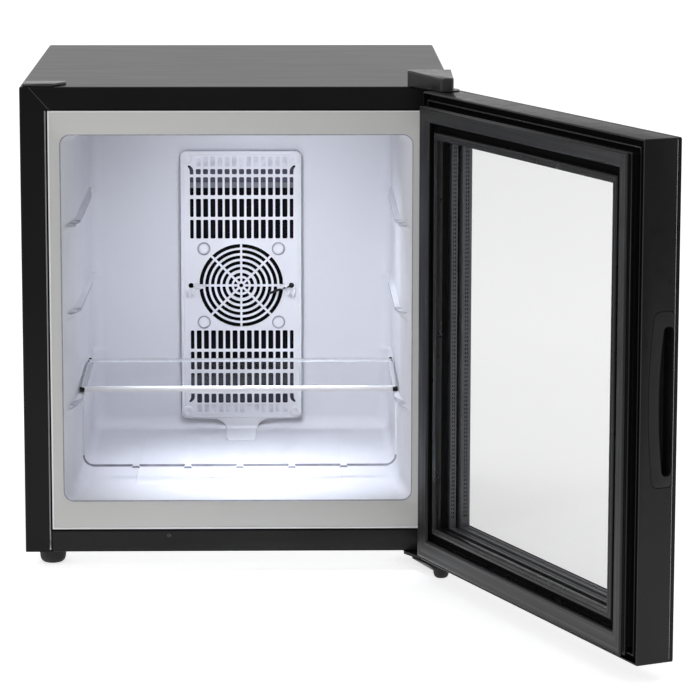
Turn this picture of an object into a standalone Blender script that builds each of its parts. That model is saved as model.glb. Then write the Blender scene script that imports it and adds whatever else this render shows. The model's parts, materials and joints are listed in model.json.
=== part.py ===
"""Compact thermoelectric mini fridge with a glazed door, as an assembly of its real pieces.

Lengths here are millimetres. X runs to the right, Z up, and depth is measured back from the
cabinet's front plane. point() turns them into metres, with the origin under the middle of the base.
Door pieces are modelled with the door shut and hang on an empty that stands on the hinge axis.
"""

import math

import bmesh
import bpy
from mathutils import Matrix, Vector

MM = 0.001
GAP = 0.3  # between pieces that touch
AXIS_TURN = {
    "X": Matrix.Rotation(math.pi / 2, 4, "Y"),
    "Y": Matrix.Rotation(-math.pi / 2, 4, "X"),
    "Z": Matrix(),
}

# Cabinet
CABINET_W = 430.0
CABINET_D = 444.0
CABINET_H = 474.0
HALF_W = CABINET_W / 2
SHEET = 1.0  # steel sheet
SKIRT_Z = 1.5  # lower edge of the cabinet, above the pressed base panel
FLANGE = 24.5  # front flange of the outer wrap
FLANGE_TOP_Z = CABINET_H - 23.8
SILL_TOP_Z = 24.1
WRAP_RADIUS = 1.6

# Inner liner
LINER_WALL = 1.5
LINER_FRONT = SHEET + GAP
OPENING_HALF = 177.6
OPENING_Z = (55.0, 426.0)
CAVITY_HALF = 166.5
CAVITY_Z = (52.0, 420.5)
CAVITY_BACK = 360.0
RAIL_TOPS = (144.7, 239.0, 335.0)
RAIL_SIZE = (5.0, 7.0)
RAIL_DEPTH = (60.0, 335.0)

# Cooling unit, all centred on the fan axis
FAN_Z = 216.0
FAN_HALF = 46.0
FAN_PITCH = 82.5  # screw spacing of a 92 mm fan
FAN_BORE = 43.5
COVER_HALF = 67.4
COVER_Z = (65.2, 366.6)
COVER_FACE = 350.0
COVER_WALL = 2.0
COLD_WELL = (52.0, 355.0, 404.0)  # half size, front and back
WELL_LEDGE = 2.0  # how far the liner reaches in over the well's edge
HOT_WELL = (66.0, 404.0, 443.5)
MODULE_HALF = 20.0
REAR_PANEL = 442.0

# Door, shut
DOOR_X = (-213.0, 215.0)
DOOR_Z = (2.0, 473.6)
FACE_DEPTH = (-47.6, -43.6)  # glass plate over the whole front
DOOR_DEPTH = (FACE_DEPTH[1] + GAP, -10.0)
POCKET_HALF = 185.0
POCKET_Z = (29.5, 445.5)
PANE = 4.0
PANE_HALF = 180.0
PANE_Z = (34.0, 441.0)
PANE_FRONTS = (-32.0, -20.0)
HINGE_X = 208.2
HINGE_DEPTH = -34.2
PIN_RADIUS = 3.0
PIN_REACH = 11.5
DOOR_OPEN_DEGREES = 114.2

# Grip recess in the door's free edge: height, front depth and reach behind it
GRIP = ((162.5, 320.5), DOOR_DEPTH[0], 22.4)
GRIP_SLOT = ((172.3, 307.0), DOOR_DEPTH[0] + 0.9, 12.9)
# Outline of both: shares of the half height, and of the reach there
GRIP_BOW = ((1.0, 0.42), (0.985, 0.6), (0.945, 0.75), (0.88, 0.84), (0.6, 0.93), (0.3, 0.98), (0.0, 1.0))

# Shelf
SHELF_HALF = 164.5
SHELF_DEPTH = (105.5, 266.0)
SHELF_Z = (146.1, 150.1)

# Lamp let into the cavity's ceiling, its lens nearly flush
LAMP_HALF = 34.0
LAMP_DEPTH = (60.0, 84.0)
LENS_HALF = 29.0
LENS_DEPTH = (63.0, 81.0)
LENS_Z = (420.2, 422.8)
LAMP_Z = (423.1, 432.5)

# Feet: centre x, centre depth, radius, top z
SOLE_Z = -16.0
FEET = {
    "foot_front_left": (-189.5, 32.0, 13.5, SKIRT_Z - GAP),
    "foot_front_right": (204.0, -39.5, 8.2, -2.1),
    "foot_rear_left": (-189.5, 412.0, 13.5, SKIRT_Z - GAP),
    "foot_rear_right": (189.5, 412.0, 13.5, SKIRT_Z - GAP),
}


def point(x, depth, z):
    return Vector((x, depth - CABINET_D / 2, z)) * MM


def clear_scene():
    for obj in list(bpy.data.objects):
        bpy.data.objects.remove(obj, do_unlink=True)


def new_collection(name):
    group = bpy.data.collections.new(name)
    bpy.context.scene.collection.children.link(group)
    return group


def finish(name, color, roughness, metallic=0.0, alpha=1.0):
    material = bpy.data.materials.new(name)
    material.use_nodes = True
    shader = material.node_tree.nodes["Principled BSDF"]
    shader.inputs["Base Color"].default_value = (*color, 1.0)
    shader.inputs["Roughness"].default_value = roughness
    shader.inputs["Metallic"].default_value = metallic
    shader.inputs["Alpha"].default_value = alpha
    return material


def place(name, bm, material=None, origin=(0.0, 0.0, 0.0)):
    """Link a bmesh as a part, or as a cutter when it has no material."""
    bmesh.ops.recalc_face_normals(bm, faces=bm.faces)
    mesh = bpy.data.meshes.new(name)
    bmesh.ops.translate(bm, verts=bm.verts, vec=-Vector(origin))
    bm.to_mesh(mesh)
    bm.free()
    obj = bpy.data.objects.new(name, mesh)
    obj.location = origin
    if material is None:
        CUTTERS.objects.link(obj)
        obj.hide_render = True
        obj.display_type = "WIRE"
    else:
        PARTS.objects.link(obj)
        mesh.materials.append(material)
    return obj


def add_box(bm, x, depth, z):
    low = point(x[0], depth[0], z[0])
    high = point(x[1], depth[1], z[1])
    size = high - low
    matrix = Matrix.Translation((low + high) / 2) @ Matrix.Diagonal((*size, 1.0))
    return bmesh.ops.create_cube(bm, size=1.0, matrix=matrix)["verts"]


def add_rod(bm, centre, radius, length, axis="Y", sides=16, tip_radius=None):
    """A cylinder or cone around centre, lying along X, Y or standing along Z."""
    bmesh.ops.create_cone(
        bm,
        cap_ends=True,
        segments=sides,
        radius1=radius * MM,
        radius2=(radius if tip_radius is None else tip_radius) * MM,
        depth=length * MM,
        matrix=Matrix.Translation(point(*centre)) @ AXIS_TURN[axis],
    )


def add_prism(bm, outline, along):
    """Extrude a closed outline of points by the vector along."""
    face = bm.faces.new([bm.verts.new(p) for p in outline])
    swept = bmesh.ops.extrude_face_region(bm, geom=[face], use_keep_orig=True)["geom"]
    moved = [v for v in swept if isinstance(v, bmesh.types.BMVert)]
    bmesh.ops.translate(bm, verts=moved, vec=along)


def box(name, x, depth, z, material=None):
    bm = bmesh.new()
    add_box(bm, x, depth, z)
    return place(name, bm, material)


def grown(*spans):
    """Spans let out by the fitting gap at both ends."""
    return [(low - GAP, high + GAP) for low, high in spans]


def boxes(name, blocks, material=None):
    bm = bmesh.new()
    for x, depth, z in blocks:
        add_box(bm, x, depth, z)
    return place(name, bm, material)


def rods(name, centres, radius, length, axis="Y", sides=16, material=None):
    bm = bmesh.new()
    for centre in centres:
        add_rod(bm, centre, radius, length, axis, sides)
    return place(name, bm, material)


def fasteners(name, centres, radius, length, axis="Y", sides=12, material=None):
    """One numbered node for each fastener in a set."""
    for number, centre in enumerate(centres, 1):
        rods(f"{name}_{number}", [centre], radius, length, axis, sides, material)


def boolean(obj, other, operation="DIFFERENCE"):
    modifier = obj.modifiers.new(f"{operation.lower()} {other.name}", "BOOLEAN")
    modifier.operation = operation
    modifier.solver = "EXACT"
    modifier.use_self = False
    modifier.object = other


def solidify(obj, thickness):
    modifier = obj.modifiers.new("sheet", "SOLIDIFY")
    modifier.thickness = thickness * MM
    modifier.offset = -1.0
    modifier.use_even_offset = True


def bevel(obj, width, segments=2):
    modifier = obj.modifiers.new("edges", "BEVEL")
    modifier.width = width * MM
    modifier.segments = segments
    modifier.limit_method = "ANGLE"
    modifier.angle_limit = math.radians(40)


def rounded_rectangle(half, z, radius, depth, steps=3):
    """Points round a rectangle with arc corners, in the plane at one depth."""
    points = []
    corners = ((1, z[1], 0), (-1, z[1], 90), (-1, z[0], 180), (1, z[0], 270))
    for side, level, start in corners:
        centre_x = side * (half - radius)
        centre_z = level - radius if level == z[1] else level + radius
        for step in range(steps + 1):
            angle = math.radians(start + 90 * step / steps)
            points.append(
                point(centre_x + radius * math.cos(angle), depth, centre_z + radius * math.sin(angle))
            )
    return points


def loft(bm, rings, cap_first=False, cap_last=False):
    """Skin a row of point rings that all have the same count."""
    loops = [[bm.verts.new(p) for p in ring] for ring in rings]
    count = len(loops[0])
    for near, far in zip(loops, loops[1:]):
        for i in range(count):
            j = (i + 1) % count
            bm.faces.new((near[i], near[j], far[j], far[i]))
    if cap_first:
        bm.faces.new(list(reversed(loops[0])))
    if cap_last:
        bm.faces.new(loops[-1])


def frame_ring(name, x, z, depth, width, material, edge=0.0):
    """A rectangular ring with mitred corners: an inset plate without its middle, made solid."""
    bm = bmesh.new()
    corners = ((x[0], z[0]), (x[1], z[0]), (x[1], z[1]), (x[0], z[1]))
    plate = bm.faces.new([bm.verts.new(point(cx, depth[0], cz)) for cx, cz in corners])
    bm.normal_update()
    bmesh.ops.inset_region(
        bm, faces=[plate], thickness=width * MM, use_even_offset=True, use_boundary=True
    )
    bmesh.ops.delete(bm, geom=[plate], context="FACES_ONLY")
    swept = bmesh.ops.extrude_face_region(bm, geom=bm.faces[:], use_keep_orig=True)["geom"]
    moved = [v for v in swept if isinstance(v, bmesh.types.BMVert)]
    bmesh.ops.translate(bm, verts=moved, vec=(0, (depth[1] - depth[0]) * MM, 0))
    ring = place(name, bm, material)
    if edge:
        bevel(ring, edge, 1)
    return ring


# ---------------------------------------------------------------- cabinet shell


def outer_wrap():
    """One folded sheet: two sides and the top, with a front flange mitred at the top corners."""
    bm = bmesh.new()
    add_box(bm, (-HALF_W, HALF_W), (0, CABINET_D), (SKIRT_Z, CABINET_H))
    bm.faces.ensure_lookup_table()
    bm.normal_update()
    open_faces = [f for f in bm.faces if f.normal.z < -0.5 or f.normal.y > 0.5]
    front = next(f for f in bm.faces if f.normal.y < -0.5)
    bmesh.ops.delete(bm, geom=open_faces, context="FACES_ONLY")
    bmesh.ops.inset_region(
        bm, faces=[front], thickness=FLANGE * MM, use_even_offset=True, use_boundary=False
    )
    inner = list(front.verts)
    bmesh.ops.delete(bm, geom=[front], context="FACES_ONLY")
    for vert in inner:
        if vert.co.z > 0.1:
            vert.co.z = FLANGE_TOP_Z * MM
    folds = [e for e in bm.edges if len(e.link_faces) == 2 and e.calc_face_angle(0.0) > 1.0]
    bmesh.ops.bevel(bm, geom=folds, offset=WRAP_RADIUS * MM, segments=2, profile=0.5, affect="EDGES")
    wrap = place("outer_wrap", bm, BLACK_STEEL)
    solidify(wrap, SHEET)
    return wrap


def front_sill():
    sill_half = HALF_W - FLANGE - GAP
    bm = bmesh.new()
    shelf_z = SKIRT_Z + SHEET
    section = ((0, SKIRT_Z), (9, SKIRT_Z), (9, shelf_z), (SHEET, shelf_z), (SHEET, SILL_TOP_Z), (0, SILL_TOP_Z))
    outline = [point(-sill_half, depth, z) for depth, z in section]
    add_prism(bm, outline, (2 * sill_half * MM, 0, 0))
    sill = place("front_sill", bm, BLACK_STEEL)
    boolean(sill, rods("status_hole", [(-70, 0, 18)], 1.8, 6))
    return sill


def base_pan():
    """A pressed tray: rim and upturned lips, with a lower middle panel whose underside is z = 0."""
    rim_x = HALF_W - SHEET - GAP
    depth = (9 + GAP, REAR_PANEL - GAP)
    bm = bmesh.new()
    corners = ((-rim_x, depth[0]), (rim_x, depth[0]), (rim_x, depth[1]), (-rim_x, depth[1]))
    rim = bm.faces.new([bm.verts.new(point(x, y, SKIRT_Z)) for x, y in corners])
    rim.normal_update()
    lip = bmesh.ops.extrude_edge_only(bm, edges=list(rim.edges))["geom"]
    lip_verts = [v for v in lip if isinstance(v, bmesh.types.BMVert)]
    bmesh.ops.translate(bm, verts=lip_verts, vec=(0, 0, 12 * MM))
    for width in (46, 6):
        bmesh.ops.inset_region(bm, faces=[rim], thickness=width * MM, use_even_offset=True)
    for vert in rim.verts:
        vert.co.z = 0.0
    pan = place("base_pan", bm, ZINC)
    solidify(pan, SHEET)
    pan.modifiers["sheet"].offset = 1.0 if rim_faces_up(pan) else -1.0
    return pan


def rim_faces_up(pan):
    """True where the sheet's thickness has to follow the normals to lie above the panel."""
    middle = min(pan.data.polygons, key=lambda p: p.center.z)
    return middle.normal.z > 0


def rear_panel():
    panel = box(
        "rear_panel", (-213.4, 213.4), (REAR_PANEL, REAR_PANEL + SHEET), (SKIRT_Z + GAP, 472.4), BLACK_STEEL
    )
    boolean(panel, box("hot_air_opening", (-50, 50), (430, 450), (FAN_Z - 50, FAN_Z + 50)))
    boolean(panel, box("inlet_opening", (121, 149), (430, 450), (15, 39)))
    return panel


def cavity_sections(offset=0.0):
    """Depth, half width, height and corner radius down the cavity, grown outwards by offset."""
    front_half = OPENING_HALF
    low, high = OPENING_Z
    floor, ceiling = CAVITY_Z
    shape = (
        (LINER_FRONT, front_half, low, high, 9),
        (LINER_FRONT + 2.2, front_half - 1.0, low + 0.5, high - 0.6, 9),
        (14, front_half - 2.8, floor + 0.6, high - 2.6, 10),
        (75, CAVITY_HALF, floor, ceiling, 12),
        (CAVITY_BACK - 20, CAVITY_HALF, floor, ceiling, 12),
        (CAVITY_BACK - 8, CAVITY_HALF - 3, floor + 3, ceiling - 3, 12),
        (CAVITY_BACK - 2.4, CAVITY_HALF - 7.5, floor + 7.5, ceiling - 7.5, 12),
        (CAVITY_BACK, CAVITY_HALF - 14, floor + 14, ceiling - 14, 12),
    )
    return [
        (depth, half + offset, (z0 - offset, z1 + offset), radius + offset)
        for depth, half, z0, z1, radius in shape
    ]


def liner():
    """Moulded inner box: a front flange, a flared mouth, straight walls and a rounded back."""
    rings = [rounded_rectangle(204, (13, 462), 4, LINER_FRONT)]
    rings += [rounded_rectangle(half, z, radius, depth) for depth, half, z, radius in cavity_sections()]
    bm = bmesh.new()
    loft(bm, rings, cap_last=True)
    shell = place("liner", bm, LINER_GREY)
    if shell.data.polygons[-1].normal.y > 0:
        shell.data.flip_normals()
    solidify(shell, LINER_WALL)
    rail_x = CAVITY_HALF - RAIL_SIZE[0]
    blocks = []
    for top in RAIL_TOPS:
        for side in (-1, 1):
            x = sorted((side * rail_x, side * (CAVITY_HALF + 0.8)))
            blocks.append((x, RAIL_DEPTH, (top - RAIL_SIZE[1], top)))
    boolean(shell, boxes("rails", blocks), "UNION")
    half = COLD_WELL[0] - WELL_LEDGE
    boolean(shell, box("liner_well", (-half, half), (350, 370), (FAN_Z - half, FAN_Z + half)))
    boolean(shell, box("lens_hole", *grown((-LENS_HALF, LENS_HALF), LENS_DEPTH), (415, 430)))


def foam():
    """Insulation that fills the walls, less the cavity, the cooling wells and the supply bay."""
    half = HALF_W - SHEET - GAP
    block = box("foam", (-half, half), (3.2, REAR_PANEL - GAP), (15, 472.6), FOAM)
    bm = bmesh.new()
    clear = LINER_WALL + 0.5
    rings = []
    for depth, size, z, radius in cavity_sections(clear):
        rings.append(rounded_rectangle(size, z, radius, depth + (clear if depth > 300 else 0.0)))
    loft(bm, rings, cap_first=True, cap_last=True)
    boolean(block, place("foam_cavity", bm))
    for name, (size, front, back) in (("cold_well", COLD_WELL), ("hot_well", HOT_WELL)):
        boolean(block, box(name, (-size, size), (front, back + 1), (FAN_Z - size, FAN_Z + size)))
    boolean(block, box("supply_bay", (-160, 170), (325, REAR_PANEL + 3), (10, 49.0)))
    pocket = grown((-LAMP_HALF, LAMP_HALF), LAMP_DEPTH)
    boolean(block, box("lamp_pocket", *pocket, (415, LAMP_Z[1] + GAP)))


# ---------------------------------------------------------------- cooling unit


def louvre_rows():
    """Heights of the slot rows, the same above and below the fan."""
    above = ((123.0, 129.0), (99.6, 120.0), (75.4, 96.0), (51.4, 72.6))
    return [(FAN_Z + low, FAN_Z + high) for low, high in above] + [
        (FAN_Z - high, FAN_Z - low) for low, high in above
    ]


def add_louvres(bm):
    pitch, width, edge_width = 8.0, 5.3, 3.2
    for z in louvre_rows():
        for column in range(-6, 7):
            middle = column * pitch
            add_box(bm, (middle - width / 2, middle + width / 2), (340, 356), z)
        for side in (-1, 1):
            middle = side * 55.0
            add_box(bm, (middle - edge_width / 2, middle + edge_width / 2), (340, 356), z)


def add_grille(bm):
    """Arc slots between eight spokes."""
    rings = ((46.5, 42.3), (40.0, 36.1), (33.6, 29.9), (27.3, 23.5))
    rings += ((21.0, 17.5), (14.3, 10.6), (8.3, 4.6))
    spoke = 2.3
    for outer, inner in rings:
        for sector in range(8):
            start = math.radians(45 * sector)
            outline = []
            for radius, order in ((outer, (0, 1, 2)), (inner, (2, 1, 0))):
                margin = math.asin(spoke / 2 / radius)
                sweep = math.pi / 4 - 2 * margin
                for step in order:
                    angle = start + margin + sweep * step / 2
                    x = radius * math.cos(angle)
                    outline.append(point(x, 340, FAN_Z + radius * math.sin(angle)))
            add_prism(bm, outline, (0, 16 * MM, 0))


def fan_cover():
    """Shallow cover on the back wall, with louvres, a fan grille and a drip channel to the floor."""
    bm = bmesh.new()
    rim = CAVITY_BACK - 0.4
    rings = [
        rounded_rectangle(COVER_HALF, COVER_Z, 8, rim),
        rounded_rectangle(COVER_HALF, COVER_Z, 8, COVER_FACE + 2),
        rounded_rectangle(COVER_HALF - 2, (COVER_Z[0] + 2, COVER_Z[1] - 2), 6, COVER_FACE),
    ]
    loft(bm, rings, cap_last=True)
    cover = place("fan_cover", bm, WHITE_PLASTIC)
    if cover.data.polygons[-1].normal.y > 0:
        cover.data.flip_normals()
    solidify(cover, COVER_WALL)
    cutters = bmesh.new()
    add_louvres(cutters)
    add_grille(cutters)
    boolean(cover, place("cover_slots", cutters))
    half = FAN_PITCH / 2
    bosses = [(x, 350.0, FAN_Z + z) for x in (-half, half) for z in (-half, half)]
    boolean(cover, rods("fan_bosses", bosses, 6.4, 1.6, sides=20), "UNION")
    boolean(cover, drip_channel(), "UNION")
    return cover


def drip_channel():
    """A strip that runs from the cover over the rounded back corner and onto the floor."""
    floor = CAVITY_Z[0] + 0.5
    wall = CAVITY_BACK - 0.6
    path = ((wall, 72), (wall, floor + 15), (wall - 2.5, floor + 7.9), (wall - 7.8, floor + 3.3))
    path += ((wall - 20.4, floor), (290, floor))
    inside = ((290, floor + 2.5), (wall - 21, floor + 2.6), (wall - 9.6, floor + 5.4))
    inside += ((wall - 5, floor + 9.4), (wall - 2.8, floor + 15.6), (wall - 2.8, 72))
    bm = bmesh.new()
    outline = [point(-18, depth, z) for depth, z in path + inside]
    add_prism(bm, outline, (36 * MM, 0, 0))
    return place("drip_strip", bm)


def cover_fittings():
    corners = [(x, 349.1, z) for x in (-59.4, 59.4) for z in (COVER_Z[0] + 8.6, COVER_Z[1] - 8.6)]
    fasteners("cover_screw", corners, 5.2, 1.2, sides=16, material=WHITE_PLASTIC)
    for name, x in (("probe_clip_left", -57), ("probe_clip_right", 57)):
        box(name, (x - 3, x + 3), (347.7, 349.7), (FAN_Z - 5, FAN_Z + 2), WHITE_PLASTIC)
    rods("temperature_probe", [(55.5, 345.9, FAN_Z - 1)], 1.5, 22, "X", 10, DARK_PLASTIC)


def fan_frame(name, front, thickness):
    half = FAN_HALF
    back = front + thickness
    frame = box(name, (-half, half), (front, back), (FAN_Z - half, FAN_Z + half), DARK_PLASTIC)
    middle = (0, front + thickness / 2, FAN_Z)
    boolean(frame, rods(f"{name}_bore", [middle], FAN_BORE, thickness + 4, sides=32))
    bars = []
    for reach in ((-44.5, -13.0), (13.0, 44.5)):
        bars.append((reach, (back - 2, back), (FAN_Z - 2, FAN_Z + 2)))
        bars.append(((-2, 2), (back - 2, back), (FAN_Z + reach[0], FAN_Z + reach[1])))
    boolean(frame, boxes(f"{name}_struts", bars), "UNION")
    boolean(frame, rods(f"{name}_hub", [(0, back - 1.1, FAN_Z)], 15, 1.8, sides=20), "UNION")
    return frame


def fan_rotor(name, front, thickness, blades=7):
    """A hub with pitched blades, its origin on the fan axis."""
    axis = point(0, front + thickness / 2, FAN_Z)
    bm = bmesh.new()
    add_rod(bm, (0, front + thickness / 2, FAN_Z), 16, thickness, sides=24)
    rotor = place(name, bm, DARK_PLASTIC, axis)
    vanes = bmesh.new()
    size = (27.0, 1.4, 13.0)
    pitch = Matrix.Rotation(math.radians(25), 4, "X")
    reach = Matrix.Translation(Vector((14.4 + size[0] / 2, 0, 0)) * MM)
    blade_shape = reach @ pitch @ Matrix.Diagonal((*(Vector(size) * MM), 1.0))
    for blade in range(blades):
        turn = Matrix.Rotation(2 * math.pi * blade / blades, 4, "Y")
        matrix = Matrix.Translation(axis) @ turn @ blade_shape
        bmesh.ops.create_cube(vanes, size=1.0, matrix=matrix)
    boolean(rotor, place(f"{name}_vanes", vanes, origin=axis), "UNION")
    return rotor


def heat_sink(name, half, base, tip, count):
    """A finned block: base is (free face, fin side) in depth, and the fins reach to tip."""
    fin = 1.6
    step = (2 * half - fin) / (count - 1)
    outline = [point(half, base[0], FAN_Z - half), point(-half, base[0], FAN_Z - half)]
    for index in range(count):
        left = -half + index * step
        right = left + fin
        if index > 0:
            outline.append(point(left, base[1], FAN_Z - half))
        outline.append(point(left, tip, FAN_Z - half))
        outline.append(point(right, tip, FAN_Z - half))
        if index < count - 1:
            outline.append(point(right, base[1], FAN_Z - half))
    bm = bmesh.new()
    add_prism(bm, outline, (0, 0, 2 * half * MM))
    return place(name, bm, ALUMINIUM)


def cooling_unit():
    fan_frame("cold_fan_frame", 353.0, 15.0)
    fan_rotor("cold_fan_rotor", 354.5, 10.5)
    heat_sink("cold_sink", FAN_HALF, (390.3, 385.3), 369.0, 12)
    middle = (FAN_Z - MODULE_HALF, FAN_Z + MODULE_HALF)
    box("cold_block", (-MODULE_HALF, MODULE_HALF), (390.6, 402.4), middle, ALUMINIUM)
    box("peltier_module", (-MODULE_HALF, MODULE_HALF), (402.7, 406.5), middle, CERAMIC)
    heat_sink("hot_sink", 60.0, (406.8, 411.8), 425.8, 14)
    fan_frame("hot_fan_frame", 426.6, 14.4)
    fan_rotor("hot_fan_rotor", 428.0, 10.0)


def rear_grille():
    half, z = 72.0, (FAN_Z - 76, FAN_Z + 76)
    depth = (REAR_PANEL + SHEET + GAP, REAR_PANEL + SHEET + GAP + 3.5)
    grille = box("rear_grille", (-half, half), depth, z, BLACK_PLASTIC)
    bevel(grille, 1.2, 1)
    slots = []
    for row in range(9):
        level = FAN_Z - 48 + row * 12
        for column in (-1, 0, 1):
            middle = column * 34.0
            slots.append(((middle - 15, middle + 15), (430, 460), (level - 3, level + 3)))
    boolean(grille, boxes("rear_slots", slots))
    corners = [(x, depth[1] + 1.1, FAN_Z + z0) for x in (-64, 64) for z0 in (-68, 68)]
    fasteners("grille_screw", corners, 3.6, 1.6, material=ZINC)


def electrics():
    box("power_supply", (60, 160), (330, 424), (18, 44), ZINC)
    inlet = box("power_inlet", (122, 148), (425, 446), (16, 38), BLACK_PLASTIC)
    boolean(inlet, box("inlet_socket", (124.5, 145.5), (432, 450), (19, 35)))
    pins = boxes(
        "inlet_pins",
        [((x - 1, x + 1), (430, 443), (z - 2, z + 2)) for x, z in ((129.5, 26), (135, 29.5), (140.5, 26))],
    )
    boolean(inlet, pins, "UNION")
    board = box("control_board", (-150, -60), (335, 425), (20, 21.6), BOARD_GREEN)
    parts = (
        ((-140, -110), (345, 372), (21, 36)),
        ((-100, -84), (350, 366), (21, 40)),
        ((-135, -75), (385, 410), (21, 30)),
    )
    boolean(board, boxes("board_parts", parts), "UNION")


def lamp():
    box("lamp_housing", (-LAMP_HALF, LAMP_HALF), LAMP_DEPTH, LAMP_Z, WHITE_PLASTIC)
    lens = box("lamp_lens", (-LENS_HALF, LENS_HALF), LENS_DEPTH, LENS_Z, LENS)
    bevel(lens, 0.8)
    rods("status_lens", [(-70, 0.4, 18)], 1.5, 1.2, sides=12, material=LENS)


# ---------------------------------------------------------------- hinges, caps and feet


def plan_plate(name, corners, z, material, edge=0.0):
    """A plate with a plan outline of (x, depth) corners."""
    bm = bmesh.new()
    add_prism(bm, [point(x, depth, z[0]) for x, depth in corners], (0, 0, (z[1] - z[0]) * MM))
    plate = place(name, bm, material)
    if edge:
        bevel(plate, edge)
    return plate


def nose(centre_x, centre_depth, radius, start, end, steps=6):
    """Arc of plan points round a rounded end."""
    points = []
    for step in range(steps + 1):
        angle = math.radians(start + (end - start) * step / steps)
        points.append((centre_x + radius * math.cos(angle), centre_depth + radius * math.sin(angle)))
    return points


def top_hinge():
    arm = [(174, 10), (174, 2)] + nose(206.4, -38.5, 5.6, 180, 360) + [(211, 10)]
    top = CABINET_H + GAP
    plan_plate("top_hinge_plate", arm, (top, top + 3), STEEL)
    low, high = DOOR_Z[1] - PIN_REACH, top - GAP
    middle = (HINGE_X, HINGE_DEPTH, (low + high) / 2)
    rods("top_hinge_pin", [middle], PIN_RADIUS, high - low, "Z", 20, STEEL)
    screws = [(x, 6, top + 4.3) for x in (181, 197)]
    fasteners("top_hinge_screw", screws, 3.4, 2.0, "Z", material=ZINC)
    tip = nose(203.4, -45.6, 4.2, 210, 270, 4) + nose(209.0, -45.6, 4.2, 270, 360, 4)
    cover_plan = [(170, 12.5), (170, 3)] + tip + [(213.2, 12.5)]
    cover = plan_plate("top_hinge_cover", cover_plan, (top, CABINET_H + 16), BLACK_PLASTIC, 2.4)
    pocket_plan = [(172, 10.6), (172, 1.2)] + nose(206.2, -39.6, 6.2, 190, 360) + [(212.3, 10.6)]
    boolean(cover, plan_plate("hinge_cover_pocket", pocket_plan, (top - 2, CABINET_H + 10), None))


def bottom_hinge():
    plan = [(168, 46), (168, 0)] + nose(204, -38.5, 9.5, 200, 360) + [(214, 0), (214, 46)]
    top = SKIRT_Z - GAP
    plan_plate("bottom_hinge_bracket", plan, (top - 3, top), STEEL)
    middle = (HINGE_X, HINGE_DEPTH, top + GAP + PIN_REACH / 2)
    rods("bottom_hinge_pin", [middle], PIN_RADIUS, PIN_REACH, "Z", 20, STEEL)
    screws = [(x, depth, top - 3 - GAP - 1) for x, depth in ((180, 28), (203, 28))]
    fasteners("bottom_hinge_screw", screws, 3.6, 2.0, "Z", material=ZINC)


def foot(name, x, depth, radius, top):
    """Turned foot: a profile of radius and height swept about its own axis."""
    profile = ((0.0, top), (radius * 0.72, top), (radius * 0.72, top - 4), (radius, top - 6))
    profile += ((radius, SOLE_Z + 1.2), (radius - 1.2, SOLE_Z), (0.0, SOLE_Z))
    bm = bmesh.new()
    verts = [bm.verts.new((r * MM, 0.0, z * MM)) for r, z in profile]
    for first, second in zip(verts, verts[1:]):
        bm.edges.new((first, second))
    mesh = bpy.data.meshes.new(name)
    bm.to_mesh(mesh)
    bm.free()
    obj = bpy.data.objects.new(name, mesh)
    obj.location = point(x, depth, 0)
    PARTS.objects.link(obj)
    mesh.materials.append(RUBBER)
    screw = obj.modifiers.new("turn", "SCREW")
    screw.steps = 20
    screw.render_steps = 20
    screw.use_merge_vertices = True
    screw.merge_threshold = 0.00001
    return obj


def blanking_cap():
    plan = [(-212, 1.5), (-181, 1.5), (-170, 24), (-170, 30), (-212, 30)]
    return plan_plate("blanking_cap", plan, (CABINET_H + GAP, CABINET_H + 3.0), BLACK_PLASTIC, 1.0)


# ---------------------------------------------------------------- shelf


def shelf():
    glass = box("shelf_glass", (-SHELF_HALF, SHELF_HALF), SHELF_DEPTH, SHELF_Z, CLEAR_GLASS)
    bevel(glass, 0.6, 1)
    front, back = SHELF_DEPTH[0] - 2.7, SHELF_DEPTH[0] - GAP
    low, high = SHELF_Z[0] - 0.2, SHELF_Z[1] + GAP
    section = ((front, low), (back, low), (back, high), (back + 2, high), (back + 2, high + 0.8), (front, high + 0.8))
    bm = bmesh.new()
    add_prism(bm, [point(-SHELF_HALF, d, z) for d, z in section], (2 * SHELF_HALF * MM, 0, 0))
    place("shelf_trim", bm, WHITE_PLASTIC)


# ---------------------------------------------------------------- door


def grip_outline(x, z, front, reach, clearance=0.0):
    """D shape on the free edge: flat along the front glass, bowed towards the cabinet."""
    low, high = z[0] - clearance, z[1] + clearance
    middle, half = (low + high) / 2, (high - low) / 2
    lower = [(-share, depth) for share, depth in GRIP_BOW]
    upper = list(reversed(GRIP_BOW[:-1]))
    points = [point(x, front - clearance, low)]
    for share, depth in lower + upper:
        points.append(point(x, front + (reach + clearance) * depth, middle + half * share))
    points.append(point(x, front - clearance, high))
    return points


def door_frame():
    frame = box("door_frame", DOOR_X, DOOR_DEPTH, DOOR_Z, BLACK_PLASTIC)
    bevel(frame, 1.2)
    pocket = box("glazing_pocket", (-POCKET_HALF, POCKET_HALF), (-60, -5), POCKET_Z)
    bm = bmesh.new()
    add_prism(bm, grip_outline(DOOR_X[0] - 2, *GRIP, GAP), (21.5 * MM, 0, 0))
    grip_pocket = place("grip_pocket", bm)
    holes = [(HINGE_X, HINGE_DEPTH, z) for z in (DOOR_Z[0] + 5, DOOR_Z[1] - 5)]
    bush_holes = rods("bush_holes", holes, 5.9, 16.0, "Z", 20)
    cuts = [pocket, grip_pocket, bush_holes]
    for cutter in cuts:
        boolean(frame, cutter)
    return [frame, *cuts]


def grip_insert():
    bm = bmesh.new()
    add_prism(bm, grip_outline(DOOR_X[0], *GRIP), (19 * MM, 0, 0))
    insert = place("grip_insert", bm, DARK_PLASTIC)
    hollow = bmesh.new()
    add_prism(hollow, grip_outline(DOOR_X[0] - 3, *GRIP_SLOT), (18.5 * MM, 0, 0))
    slot = place("finger_slot", hollow)
    boolean(insert, slot)
    return [insert, slot]


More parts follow.
